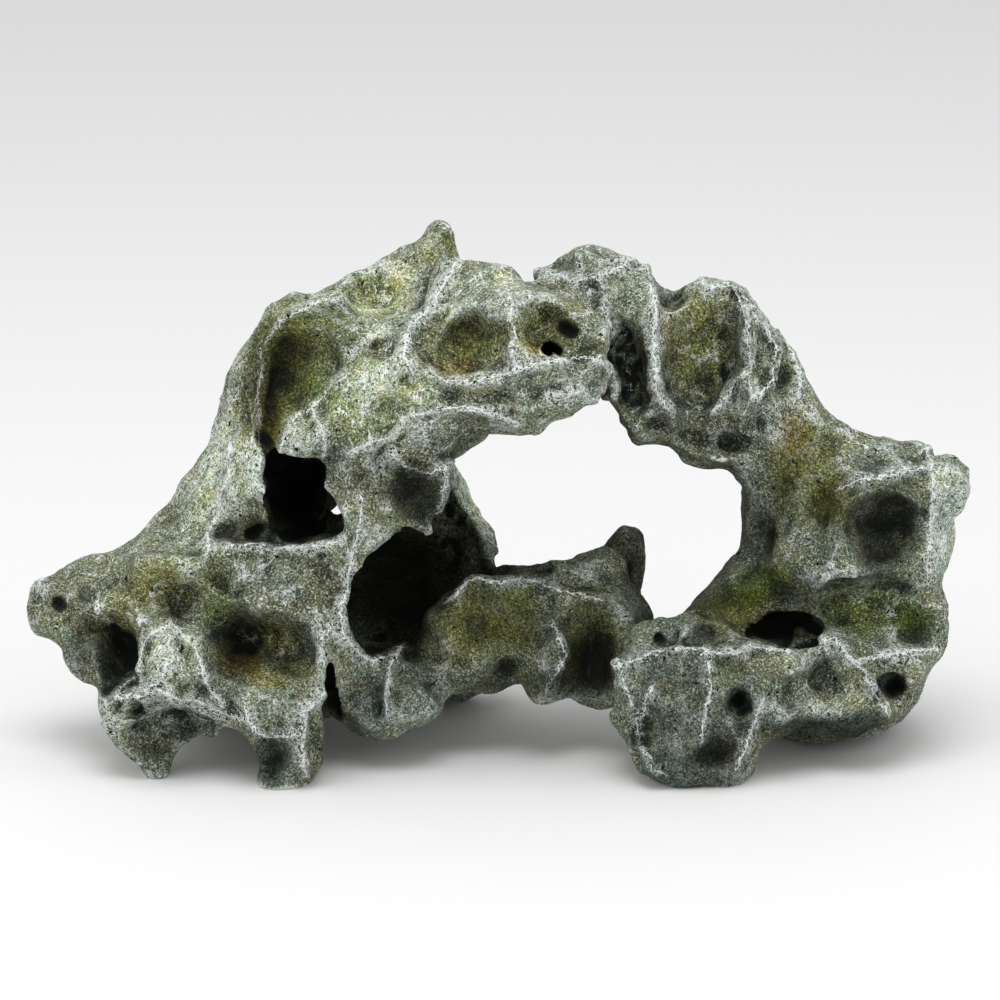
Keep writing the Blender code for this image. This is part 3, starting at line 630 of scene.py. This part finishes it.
# How the pixels above are read on the rock, in mm: how far an edge strays from its ellipse and over what
# spacing, how far behind the front a place still takes part, and the patch that the front is read from.
STRAY = 1.3
STRAY_SPACING = 7
STRAY_SEEDS = (11, 12)
FRONT_DEPTH = 14
FRONT_PATCH = 1.5
# How far a place turns towards the view to take part.
FACING = 0.05

# How sharp the worn crests are, and how far from one the stone is still marked by it, in mm.
CREST_SHARPNESS = 1.3
RIM_REACH = 8

# Rounds of easing before the places above are worn in.
EASED = 10

# Wear all over the rock. Bowls: spacing, widest radius and depth in mm, the share of places that have one, and
# seed. Grain: spacing and height in mm, and seed. Then the least radius of a bowl and what may come on top of it,
# as shares of the widest.
PITS = (9, 2.2, 1.1, 0.1, 30)
PINHOLES = (4.5, 1.1, 0.8, 0.16, 40)
GRAIN = (2.2, 0.2, 60)
LEAST_BOWL, MORE_BOWL = 0.45, 0.55

# Shells worn side by side with sharp crests between them, coarse to fine: spacing and depth in mm, and seed.
SHELLS = ((19, 2.2, 80), (8.5, 0.9, 85), (3.6, 0.35, 90))
# How far they are shaken in spacings and how often in a spacing, and the shares of the depth worn and left standing.
SHELL_SHAKE, SHAKES = 0.35, 1.7
SHELL_WORN, SHELL_LEFT = 0.5, 0.1
# Patches of deeper and shallower shells: size in spacings, middling depth, swing and limits.
PATCH_SIZE, PATCH_DEPTH, PATCH_SWING = 2.6, 0.75, 0.9
PATCH_LIMITS = (0.15, 1.4)


def hashed(cells, seed):
    """A number from 0 to 1 for each whole-number place, the same each time."""
    x, y, z = (cells[..., axis].astype(np.int64) for axis in range(3))
    h = (x * 73856093) ^ (y * 19349663) ^ (z * 83492791) ^ (seed * 2654435761)
    h = (h ^ (h >> 13)) * 1274126177 & 0xFFFFFFFF
    h = (h ^ (h >> 16)) * 2246822519 & 0xFFFFFFFF
    return (h ^ (h >> 15) & 0xFFFFFF) % 0x1000000 / 0x1000000


def noise(at, seed):
    """Smooth noise from -1 to 1, with a spacing of one."""
    cell = np.floor(at)
    part = at - cell
    part = part * part * (3 - 2 * part)
    total = np.zeros(len(at))
    for corner in np.ndindex(2, 2, 2):
        share = np.prod(np.where(corner, part, 1 - part), axis=1)
        total += share * hashed(cell + corner, seed)
    return 2 * total - 1


def shell_gaps(at, spacing, seed):
    """The cell of each place, and how far it is from the middles of the 27 shells in and round that cell, in
    spacings."""
    at = at / spacing
    at = at + SHELL_SHAKE * np.stack([noise(at * SHAKES, seed + axis) for axis in range(3)], axis=1)
    cell = np.floor(at)
    gaps = []
    for step in np.ndindex(3, 3, 3):
        home = cell + step - 1
        centre = np.stack([hashed(home, seed + axis) for axis in range(3)], axis=1)
        gaps.append(np.linalg.norm(at - home - centre, axis=1))
    return cell, np.array(gaps)


def shells(at, spacing, seed):
    """Hollows side by side, 1 at the middle of each and 0 or less at the crests between them."""
    return 1 - 2 * shell_gaps(at, spacing, seed)[1].min(axis=0) ** 2


def crest_gap(at, spacing, seed):
    """How far the nearest crest between two shells is, in mm, with a sign that changes over the crest."""
    cell, gaps = shell_gaps(at, spacing, seed)
    nearest = np.argsort(gaps, axis=0)[:2]
    steps = np.array(list(np.ndindex(3, 3, 3)))
    first, second = (hashed(cell + steps[row] - 1, seed + 3) for row in nearest)
    near, far = np.take_along_axis(gaps, nearest, axis=0)
    return np.where(first > second, 1, -1) * (far - near) * spacing / 2


def bowls(at, spacing, radius, depth, share, seed):
    """Depth of crisp round bowls scattered at that spacing."""
    cell = np.floor(at / spacing)
    deepest = np.zeros(len(at))
    for step in np.ndindex(3, 3, 3):
        home = cell + step - 1
        centre = np.stack([hashed(home, seed + axis) for axis in range(3)], axis=1)
        reach = radius * (LEAST_BOWL + MORE_BOWL * hashed(home, seed + 3))
        gap = np.linalg.norm(at - (home + centre) * spacing, axis=1)
        bowl = depth * reach / radius * np.clip(1 - (gap / reach) ** 2, 0, 1)
        bowl[hashed(home, seed + 4) > share] = 0
        deepest = np.maximum(deepest, bowl)
    return deepest


class Skin:
    """The rock's points and outward directions in mm, and where the photograph's view sees them."""

    def __init__(self, rock):
        self.mesh = rock.data
        self.at = self.read(self.mesh.vertices, "co") / MM
        self.out = self.read(self.mesh.vertex_normals, "vector")
        rise = math.radians(CAMERA_RISE)
        self.ahead = np.array((0, math.cos(rise), -math.sin(rise)))
        up = np.array((0, math.sin(rise), math.cos(rise)))
        seen = self.at - (np.array(LOOK_AT) - self.ahead * CAMERA_AWAY)
        self.depth = seen @ self.ahead
        reach = CAMERA_AWAY * PIXELS_PER_MM
        self.x = PIXELS / 2 + reach * seen[:, 0] / self.depth
        self.y = PIXELS / 2 - reach * (seen @ up) / self.depth
        self.facing = -self.out @ self.ahead
        self.stray = np.array([STRAY * noise(self.at / STRAY_SPACING, seed) for seed in STRAY_SEEDS])

    @staticmethod
    def read(items, field):
        values = np.empty(len(items) * 3, np.float32)
        items.foreach_get(field, values)
        return values.reshape(-1, 3).astype(float)

    def write(self):
        self.mesh.vertices.foreach_set("co", (self.at * MM).astype(np.float32).ravel())
        self.mesh.update()

    def in_box(self, low, high, margin):
        edge = margin * PIXELS_PER_MM
        return np.nonzero((self.x > low[0] - edge) & (self.x < high[0] + edge) & (self.facing > FACING)
                          & (self.y > low[1] - edge) & (self.y < high[1] + edge))[0]

    def front(self, pixel):
        """How far ahead the rock's nearest face lies at a pixel."""
        patch = self.in_box(pixel, pixel, FRONT_PATCH)
        return self.depth[patch].min() if len(patch) else CAMERA_AWAY

    def weight(self, found, front):
        return np.clip(2 - np.abs(self.depth[found] - front) / FRONT_DEPTH, 0, 1)

    def ellipse(self, x, y, wide, high, turn, lean=(0, 0), square=2):
        """The points near an ellipse in the view, and how far inside it each lies: 1 in the middle, 0 at its edge."""
        found = self.in_box((x, y), (x, y), max(wide, high) + STRAY)
        turn = math.radians(turn)
        dx = (self.x[found] - x) / PIXELS_PER_MM + self.stray[0][found]
        dy = (self.y[found] - y) / PIXELS_PER_MM + self.stray[1][found]
        along = (dx * math.cos(turn) + dy * math.sin(turn)) / wide
        across = (dy * math.cos(turn) - dx * math.sin(turn)) / high
        # Measured from the leaning middle: 0 there and 1 all along the edge.
        x, y = along - lean[0], across - lean[1]
        spread = (np.abs(x) ** square + np.abs(y) ** square) ** (2 / square)
        slope = lean[0] * x + lean[1] * y
        room = 1 - lean[0] ** 2 - lean[1] ** 2
        out = (slope + np.sqrt(slope**2 + room * spread)) / room
        return found, np.clip(1 - out**2, 0, 1)

    def press(self, x, y, wide, high, turn, depth, wall, lean=(0, 0)):
        steepness, square = wall
        found, inside = self.ellipse(x, y, wide, high, turn, lean, square)
        push = self.weight(found, self.front((x, y))) * inside**steepness * depth
        self.at[found] += push[:, None] * self.ahead

    def along(self, knots):
        """The points near a run of knots (pixel x, pixel y, half width, height), how far out of the run's width
        each lies (0 on it, 1 at one edge and -1 at the other) and the height there."""
        out = np.full(len(self.at), np.inf)
        height = np.zeros(len(self.at))
        for a, b in zip(np.array(knots, float), np.array(knots[1:], float)):
            found = self.in_box(np.minimum(a, b), np.maximum(a, b), max(a[2], b[2]) + STRAY)
            point = np.stack([self.x[found], self.y[found]], axis=1) + PIXELS_PER_MM * self.stray[:, found].T
            run = b[:2] - a[:2]
            share = np.clip((point - a[:2]) @ run / (run @ run), 0, 1)
            at = a + share[:, None] * (b - a)
            gap = np.linalg.norm(point - at[:, :2], axis=1) / PIXELS_PER_MM / at[:, 2]
            side = np.where((point - a[:2]) @ (-run[1], run[0]) > 0, 1, -1)
            front = self.front(a) + share * (self.front(b) - self.front(a))
            closer = (gap < np.abs(out[found])) & (gap < 1)
            out[found[closer]] = (gap * side)[closer]
            height[found[closer]] = (at[:, 3] * self.weight(found, front))[closer]
        found = np.nonzero(np.abs(out) < 1)[0]
        return found, out[found], height[found]

    def crest(self, half, height, pixels):
        found, out, rise = self.along([(x, y, half, height) for x, y in pixels])
        self.at[found] += ((1 - np.abs(out)) ** CREST_SHARPNESS * rise)[:, None] * self.out[found]

    def valley(self, wall, knots):
        found, out, depth = self.along(knots)
        self.at[found] += ((1 - out**2) ** wall[0] * depth)[:, None] * self.ahead

    def rim_gap(self):
        """How far the nearest crest of the table is, in mm, with a sign that changes over the crest."""
        nearest = np.full(len(self.at), float(RIM_REACH))
        for name, half, height, pixels in CRESTS:
            found, out, share = self.along([(x, y, RIM_REACH, 1) for x, y in pixels])
            gap = np.where(share > 0.5, out, 1) * RIM_REACH
            closer = np.abs(gap) < np.abs(nearest[found])
            nearest[found[closer]] = gap[closer]
        return nearest


def keep_in(rock, box):
    """Brings back any point that lies outside the box."""
    skin = Skin(rock)
    skin.at = np.clip(skin.at, *(np.array(corner) / MM for corner in box))
    skin.write()


def sculpt(rock):
    """Works the tables' places and the wear into the rock, then thins it and keeps it inside the CAD's box."""
    ease = rock.modifiers.new("ease", "SMOOTH")
    ease.iterations = EASED
    settle(rock)
    skin = Skin(rock)
    for name, *place in RELIEF:
        skin.press(*place)
    for name, *valley in VALLEYS:
        skin.valley(*valley)
    for name, *crest in CRESTS:
        skin.crest(*crest)
    skin.write()
    add_remesh(rock, FINE_VOXEL)
    settle(rock)
    skin = Skin(rock)
    spacing, height, seed = GRAIN
    worn = bowls(skin.at, *PITS) + bowls(skin.at, *PINHOLES) - height * noise(skin.at / spacing, seed)
    for spacing, depth, seed in SHELLS:
        patch = PATCH_DEPTH + PATCH_SWING * noise(skin.at / (PATCH_SIZE * spacing), seed - 20)
        share = SHELL_WORN * shells(skin.at, spacing, seed) - SHELL_LEFT
        worn += depth * np.clip(patch, *PATCH_LIMITS) * share
    skin.at -= worn[:, None] * skin.out
    skin.write()
    keep_in(rock, cad_box)
    thin = rock.modifiers.new("thin", "DECIMATE")
    thin.ratio = min(1, MOST_TRIANGLES / (2 * len(rock.data.polygons)))
    settle(rock)
    keep_in(rock, cad_box)
    rock.data.shade_smooth()


def smoothed(values, edges, rounds):
    """Values evened out along the mesh's edges, a row to each point."""
    count = len(values)
    ends = np.bincount(edges.ravel(), minlength=count)[:, None]
    for _ in range(rounds):
        total = np.stack([np.bincount(edges[:, 0], column[edges[:, 1]], count)
                          + np.bincount(edges[:, 1], column[edges[:, 0]], count) for column in values.T], axis=1)
        values = (values + total / ends) / 2
    return values


def daylight(skin, edges):
    """The share of the light from all round that reaches each place, from 0 to 1."""
    lit = np.zeros(len(skin.at))
    whole = np.zeros(len(skin.at))
    for ray in range(DAYLIGHT_RAYS):
        z = 1 - (2 * ray + 1) / DAYLIGHT_RAYS
        angle = math.pi * (1 + math.sqrt(5)) * ray
        level = math.sqrt(1 - z * z)
        towards = Vector((level * math.cos(angle), level * math.sin(angle), z))
        side = towards.orthogonal().normalized()
        height = skin.at @ np.array(towards)
        square = np.stack([skin.at @ np.array(side), skin.at @ np.array(towards.cross(side))], axis=1)
        square = (square / DAYLIGHT_SQUARE).astype(int) - (square / DAYLIGHT_SQUARE).astype(int).min(axis=0)
        place = square[:, 0] * (square[:, 1].max() + 1) + square[:, 1]
        top = np.full(place.max() + 1, -np.inf)
        np.maximum.at(top, place, height)
        facing = np.clip(skin.out @ np.array(towards), 0, 1)
        lit += facing * (height > top[place] - DAYLIGHT_SLACK)
        whole += facing
    return smoothed((lit / np.maximum(whole, 1e-6))[:, None], edges, FINE_ROUNDS)[:, 0]


def store(mesh, name, values, kind="FLOAT", field="value"):
    layer = mesh.attributes.new(name, kind, "POINT")
    layer.data.foreach_set(field, values.astype(np.float32).ravel())


def read_shape(rock):
    """Stores what the stone's finish goes by: ridges and hollows, daylight, how far the crests are, and tints with
    the painted light and shade of each tinted place.
    """
    skin = Skin(rock)
    mesh = rock.data
    edges = np.empty(len(mesh.edges) * 2, np.int32)
    mesh.edges.foreach_get("vertices", edges)
    edges = edges.reshape(-1, 2)
    rounds = 0
    at = skin.at
    for name, total in (("fine", FINE_ROUNDS), ("middle", MIDDLE_ROUNDS)):
        at = smoothed(at, edges, total - rounds)
        rounds = total
        store(mesh, name, np.einsum("ij,ij->i", skin.at - at, skin.out))
    store(mesh, "daylight", daylight(skin, edges))
    crests = [crest_gap(skin.at, spacing, seed) for spacing, depth, seed in SHELLS[:2]]
    crests = np.stack((*crests, skin.rim_gap()), axis=1)
    store(mesh, "over_crests", crests, "FLOAT_VECTOR", "vector")
    store(mesh, "to_crests", np.abs(crests), "FLOAT_VECTOR", "vector")
    # Each tint's hue, and how much brighter or darker its place is painted: partly the stone's own paint, partly
    # painted light and shade.
    tint_and_painted_light = np.ones((len(skin.at), 4))
    for colour, x, y, wide, high, turn, strength, brightness in TINTS_AND_PAINTED_LIGHT:
        found, inside = skin.ellipse(x, y, wide, high, turn)
        inside = inside * inside * (3 - 2 * inside)
        share = (inside * strength * skin.weight(found, skin.front((x, y))))[:, None]
        tint_and_painted_light[found] *= 1 + share * (np.array((*colour, brightness)) - 1)
    store(mesh, "tint_and_painted_light", tint_and_painted_light, "FLOAT_COLOR", "color")


class Finish:
    """A material's nodes, added one call at a time."""

    def __init__(self, name):
        self.material = bpy.data.materials.new(name)
        self.material.use_nodes = True
        self.tree = self.material.node_tree
        self.shader = self.tree.nodes["Principled BSDF"]
        self.place = self.add("ShaderNodeTexCoord").outputs["Object"]

    def add(self, kind, inputs=None, **settings):
        node = self.tree.nodes.new(kind)
        for name, value in settings.items():
            setattr(node, name, value)
        for key, value in (inputs or {}).items():
            self.join(value, node.inputs[key])
        return node

    def join(self, value, socket):
        if isinstance(value, bpy.types.NodeSocket):
            self.tree.links.new(value, socket)
        else:
            socket.default_value = value

    def math(self, operation, *values, clamp=False):
        return self.add("ShaderNodeMath", dict(enumerate(values)), operation=operation, use_clamp=clamp).outputs[0]

    def fold(self, operation, first, *others):
        for other in others:
            first = self.math(operation, first, other)
        return first

    def times(self, *values):
        return self.fold("MULTIPLY", *values)

    def plus(self, *values):
        return self.fold("ADD", *values)

    def most(self, *values):
        return self.fold("MAXIMUM", *values)

    def away(self, value, level):
        return self.math("ABSOLUTE", self.math("SUBTRACT", value, level))

    def shares(self, name, first, second):
        share, other = SHARES[name]
        return self.math("MULTIPLY_ADD", first, share, self.times(second, other))

    def ramp(self, value, low, high, start=0, end=1):
        """Value from low to high, made into start to end with eased ends."""
        node = self.add("ShaderNodeMapRange", {0: value, 1: low, 2: high, 3: start, 4: end})
        node.interpolation_type = "SMOOTHSTEP"
        return node.outputs[0]

    def answer(self, name, value):
        return self.ramp(value, *RAMPS[name])

    def mix(self, share, a, b, blend="MIX"):
        a, b = ((*c, 1) if isinstance(c, tuple) else c for c in (a, b))
        node = self.add("ShaderNodeMix", {0: share, 6: a, 7: b}, data_type="RGBA", blend_type=blend)
        return node.outputs[2]

    def vector(self, operation, first, second):
        inputs = {0: first, "Scale" if operation == "SCALE" else 1: second}
        return self.add("ShaderNodeVectorMath", inputs, operation=operation).outputs[0]

    def noise(self, name, output=0):
        size, detail, roughness = NOISES[name]
        inputs = {"Vector": self.place, "Scale": 1 / (size * MM), "Detail": detail, "Roughness": roughness}
        return self.add("ShaderNodeTexNoise", inputs).outputs[output]

    def shape(self, name, output="Fac"):
        return self.add("ShaderNodeAttribute", attribute_name=name).outputs[output]

    def axes(self, vector):
        return self.add("ShaderNodeSeparateXYZ", {0: vector}).outputs[:]


def stone():
    """The rock's finish, drawn from what read_shape stores and from noise."""
    f = Finish("stone")
    f.fine, f.middle, f.light = (f.shape(name) for name in ("fine", "middle", "daylight"))
    f.speckle, f.sand = f.noise("speckle"), f.noise("sand")
    # Painted light and shade: each tinted place painted brighter or darker, the stone paler towards the top as light
    # from above would make it, and darker where less daylight reaches.
    f.brightness = f.times(f.shape("tint_and_painted_light", "Alpha"), f.answer("painted_top_light", f.axes(f.place)[2]),
                           f.math("POWER", f.light, PAINTED_SHADE_POWER))
    over_crests, to_crests = (f.axes(f.shape(name, "Vector")) for name in ("over_crests", "to_crests"))
    lines, shade = crest_lines(f, over_crests, to_crests)
    net, pockets = vein_net(f, to_crests)
    holes = pinholes(f)
    # Painted shade, near-black, where little daylight gets in and in dips.
    colour = f.mix(painted_hollow_shade(f), ground_colour(f), NEAR_BLACK_AND_PAINTED_SHADE)
    # Near-black in the vein net's pockets, and painted shade beside the crest lines.
    colour = f.mix(f.most(pockets, f.times(shade, LINE_SHADE)), colour, NEAR_BLACK_AND_PAINTED_SHADE)
    colour = f.mix(f.most(pale_wear(f, net), lines), colour, WORN)
    # Pinholes painted near-black: painted shade inside them.
    f.join(f.mix(holes, colour, NEAR_BLACK_AND_PAINTED_SHADE), f.shader.inputs["Base Color"])
    f.shader.inputs["Roughness"].default_value = STONE_ROUGHNESS
    f.shader.inputs["Specular IOR Level"].default_value = STONE_SHEEN
    relief = f.math("SUBTRACT", f.shares("bump", f.speckle, f.sand), f.times(holes, HOLE_SHARE))
    bump = {"Strength": BUMP_STRENGTH, "Distance": BUMP_HEIGHT * MM, "Height": relief}
    f.join(f.add("ShaderNodeBump", bump).outputs[0], f.shader.inputs["Normal"])
    return f.material


def ground_colour(f):
    """The stone with its blotches, clouds, tones, tints and grain, and painted light and shade: paler towards the
    top, darker where less daylight reaches, and each tinted place painted brighter or darker.
    """
    colour = f.mix(f.answer("blotch", f.noise("blotch")), STONE_MIDDLE, STONE_PALE)
    colour = f.mix(f.answer("cloud", f.noise("cloud")), colour, STONE_DARK)
    colour = f.mix(1, colour, f.mix(f.answer("tone", f.noise("tone")), WARM, COOL), "MULTIPLY")
    colour = f.mix(1, colour, f.shape("tint_and_painted_light", "Color"), "MULTIPLY")
    grain = (f.math("POWER", contrast, f.math("SUBTRACT", value, 0.5))
             for value, contrast in ((f.speckle, SPECKLE_CONTRAST), (f.sand, SAND_CONTRAST)))
    return f.vector("SCALE", colour, f.times(f.brightness, f.times(*grain)))


def painted_hollow_shade(f):
    """Painted shade: dark where little light gets in, and in dips."""
    painted_darkening = f.plus(f.answer("dim_painted_shade", f.light), f.answer("dip_painted_shade", f.shares("dip", f.middle, f.fine)))
    return f.math("ADD", painted_darkening, f.answer("painted_shade_speckle", f.speckle), clamp=True)


def crest_lines(f, over_crests, to_crests):
    """Pale winding lines along the crests, two to each, and the painted shade beside them."""
    breaks = f.noise("breaks")
    winds = [(f.math("SUBTRACT", f.noise(name), 0.5), swing, share) for name, swing, share in WINDS]
    lines, shades = [], []
    for over, to, (width, whole, dim) in zip(over_crests, to_crests, CREST_LINES):
        for wind, swing, share in winds:
            off = f.math("ABSOLUTE", f.math("MULTIPLY_ADD", wind, swing * width, over))
            here = f.times(f.ramp(to, 2 * LINE_REACH * width, LINE_REACH * width),
                           f.ramp(breaks, whole - BREAK_SOFTNESS, whole + BREAK_SOFTNESS),
                           f.ramp(f.brightness, dim, dim + DIM_SOFTNESS, DIM_LEAST, 1))
            lines.append(f.times(f.ramp(off, width * share, width * share / 3), here))
            shades.append(f.times(f.ramp(f.away(off, SHADE_OFF * width), width, width / 3), here))
    return f.times(f.most(*lines), f.answer("line_light", f.light)), f.most(*shades)


def vein_net(f, to_crests):
    """A net of pale veins with dark pockets in it, where the stone stands proud."""
    web = f.noise("web")
    net = f.most(f.answer("vein", f.away(web, 0.5)), f.answer("vein_fine", f.away(f.noise("web_fine"), 0.5)))
    proud = f.plus(f.shares("proud", f.fine, f.middle), f.answer("proud_rim", to_crests[2]),
                   f.answer("patch", f.noise("patch")), f.answer("proud_bright", f.brightness))
    veined = f.answer("veined", proud)
    return f.times(net, veined), f.times(f.answer("pockets", web), veined)


def pale_wear(f, net):
    """Pale wear on the net, on sharp ridges and in specks."""
    ridge = f.plus(f.shares("ridge", f.fine, f.middle), f.answer("ridge_speckle", f.speckle))
    pale = f.most(net, f.most(f.answer("ridge", ridge), f.answer("specks", f.sand)))
    return f.times(pale, f.answer("wear_light", f.light), f.answer("wear_bright", f.brightness))


def pinholes(f):
    """Scattered pinholes, shaken so that none is round."""
    shake = f.vector("SUBTRACT", f.noise("shake", "Color"), (0.5, 0.5, 0.5))
    shaken = f.vector("ADD", f.place, f.vector("SCALE", shake, HOLE_SHAKE * MM))
    cells = f.add("ShaderNodeTexVoronoi", {"Vector": shaken, "Scale": 1 / (HOLE_SPACING * MM)}).outputs
    pick = f.add("ShaderNodeSeparateColor", {0: cells["Color"]}).outputs[0]
    return f.times(f.answer("hole", cells["Distance"]), f.answer("hole_pick", pick))


def placed(name, at, radii):
    """The matrix that makes a unit ball into the named ellipsoid, in metres."""
    turn = [math.radians(angle) for angle in TURNS.get(name, (0, 0, 0))]
    size = Matrix.Diagonal((*(Vector(radii) * MM), 1))
    return Matrix.Translation(Vector(at) * MM) @ Euler(turn).to_matrix().to_4x4() @ size


def add_ball(bm, name, at, radii, level):
    bmesh.ops.create_icosphere(bm, subdivisions=level, radius=1, matrix=placed(name, at, radii))


def add_limb(bm, name, points):
    """A tapered round limb through the points, with a ball at each end."""
    curve = bpy.data.curves.new(name, "CURVE")
    curve.dimensions = "3D"
    curve.bevel_depth = MM
    curve.bevel_resolution = LIMB_LEVEL
    curve.use_fill_caps = True
    spline = curve.splines.new("BEZIER")
    spline.bezier_points.add(len(points) - 1)
    for knot, (x, y, z, radius) in zip(spline.bezier_points, points):
        knot.co = Vector((x, y, z)) * MM
        knot.radius = radius
        knot.handle_left_type = "AUTO"
        knot.handle_right_type = "AUTO"
    guide = bpy.data.objects.new(name, curve)
    bpy.context.collection.objects.link(guide)
    graph = bpy.context.evaluated_depsgraph_get()
    bm.from_mesh(bpy.data.meshes.new_from_object(guide.evaluated_get(graph)))
    bpy.data.objects.remove(guide)
    for x, y, z, radius in (points[0], points[-1]):
        add_ball(bm, name, (x, y, z), (radius, radius, radius), END_LEVEL)


def add_object(name, bm, to=None):
    mesh = bpy.data.meshes.new(name)
    bm.to_mesh(mesh)
    bm.free()
    mesh.shade_smooth()
    obj = bpy.data.objects.new(name, mesh)
    (to or bpy.context.scene.collection).objects.link(obj)
    return obj


def make_masses():
    bm = bmesh.new()
    for name, at, radii in LUMPS:
        add_ball(bm, name, at, radii, BALL_LEVEL)
    for name, points in LIMBS:
        add_limb(bm, name, points)
    return add_object("rock", bm)


def make_hollows():
    hollows = bpy.data.collections.new("hollows")
    bpy.context.scene.collection.children.link(hollows)
    for name, *shape in HOLLOWS + GULLIES:
        bm = bmesh.new()
        if len(shape) == 2:
            add_ball(bm, name, *shape, BALL_LEVEL)
        else:
            add_limb(bm, name, *shape)
        cutter = add_object("cut_" + name, bm, hollows)
        # A gully's tube and end balls overlap, so they are fused first.
        if len(shape) == 1:
            add_remesh(cutter, FUSE_VOXEL)
    return hollows


def add_remesh(rock, voxel):
    remesh = rock.modifiers.new("remesh", "REMESH")
    remesh.mode = "VOXEL"
    remesh.voxel_size = voxel * MM
    remesh.use_smooth_shade = True


def add_wander(rock, texture, direction, spacing, strength):
    texture.noise_scale = spacing * MM
    wander = rock.modifiers.new("wander", "DISPLACE")
    wander.texture = texture
    wander.texture_coords = "LOCAL"
    wander.direction = direction
    wander.strength = strength * MM
    wander.mid_level = 0.5


def settle(rock):
    """Applies the rock's modifiers."""
    graph = bpy.context.evaluated_depsgraph_get()
    mesh = bpy.data.meshes.new_from_object(rock.evaluated_get(graph))
    rock.modifiers.clear()
    rock.data = mesh


def rough_out():
    """The rock as the CAD has it, before its faces are thinned: masses fused, hollowed and put out of true."""
    rock = make_masses()
    add_remesh(rock, FUSE_VOXEL)
    blend = rock.modifiers.new("blend", "SMOOTH")
    blend.iterations = BLENDED
    hollows = make_hollows()
    carve = rock.modifiers.new("carve", "BOOLEAN")
    carve.operation = "DIFFERENCE"
    carve.solver = "MANIFOLD"
    carve.operand_type = "COLLECTION"
    carve.collection = hollows
    add_remesh(rock, SKIN_VOXEL)
    drift = bpy.data.textures.new("drift", "CLOUDS")
    drift.cloud_type = "COLOR"
    add_wander(rock, drift, "RGB_TO_XYZ", *DRIFT)
    dents = bpy.data.textures.new("dents", "VORONOI")
    dents.distance_metric = "DISTANCE_SQUARED"
    add_wander(rock, dents, "NORMAL", *DENTS)
    settle(rock)
    for cutter in list(hollows.objects):
        bpy.data.objects.remove(cutter)
    bpy.data.collections.remove(hollows)
    rock.data.transform(Matrix.Translation(Vector(TO_MIDDLE) * MM))
    return rock


def stage_light(name, power, place):
    light = bpy.data.lights.new(name, "AREA")
    light.shape = "DISK"
    light.size = LAMP_WIDTH
    light.energy = power
    lamp = bpy.data.objects.new(name, light)
    lamp.location = place
    lamp.rotation_euler = (Vector(LAMP_AIM) - Vector(place)).to_track_quat("-Z", "Y").to_euler()
    bpy.context.scene.collection.objects.link(lamp)


def photo_camera():
    away = Vector((0, -math.cos(math.radians(CAMERA_RISE)), math.sin(math.radians(CAMERA_RISE))))
    data = bpy.data.cameras.new("photo_camera")
    data.sensor_width = SENSOR
    data.lens = SENSOR * CAMERA_AWAY * PIXELS_PER_MM / PIXELS
    data.clip_start = CLIP_START
    camera = bpy.data.objects.new("photo_camera", data)
    camera.location = (Vector(LOOK_AT) + away * CAMERA_AWAY) * MM
    camera.rotation_euler = (-away).to_track_quat("-Z", "Y").to_euler()
    bpy.context.scene.collection.objects.link(camera)
    bpy.context.scene.camera = camera


def floor():
    bm = bmesh.new()
    bmesh.ops.create_grid(bm, x_segments=1, y_segments=1, size=FLOOR_HALF)
    ground = add_object("floor", bm)
    material = bpy.data.materials.new("pale_floor")
    material.use_nodes = True
    shader = material.node_tree.nodes["Principled BSDF"]
    shader.inputs["Base Color"].default_value = (*FLOOR_COLOUR, 1)
    shader.inputs["Roughness"].default_value = FLOOR_ROUGHNESS
    ground.data.materials.append(material)


def studio():
    for lamp in LAMPS:
        stage_light(*lamp)
    world = bpy.data.worlds.new("studio")
    world.use_nodes = True
    background = world.node_tree.nodes["Background"]
    background.inputs["Color"].default_value = (1, 1, 1, 1)
    background.inputs["Strength"].default_value = SKY
    bpy.context.scene.world = world
    bpy.context.scene.view_settings.view_transform = "Standard"


rock = rough_out()
sculpt(rock)
read_shape(rock)
rock.data.materials.clear()
rock.data.materials.append(stone())
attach(rock, "root")
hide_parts("holey_rock")
photo_camera()
floor()
studio()
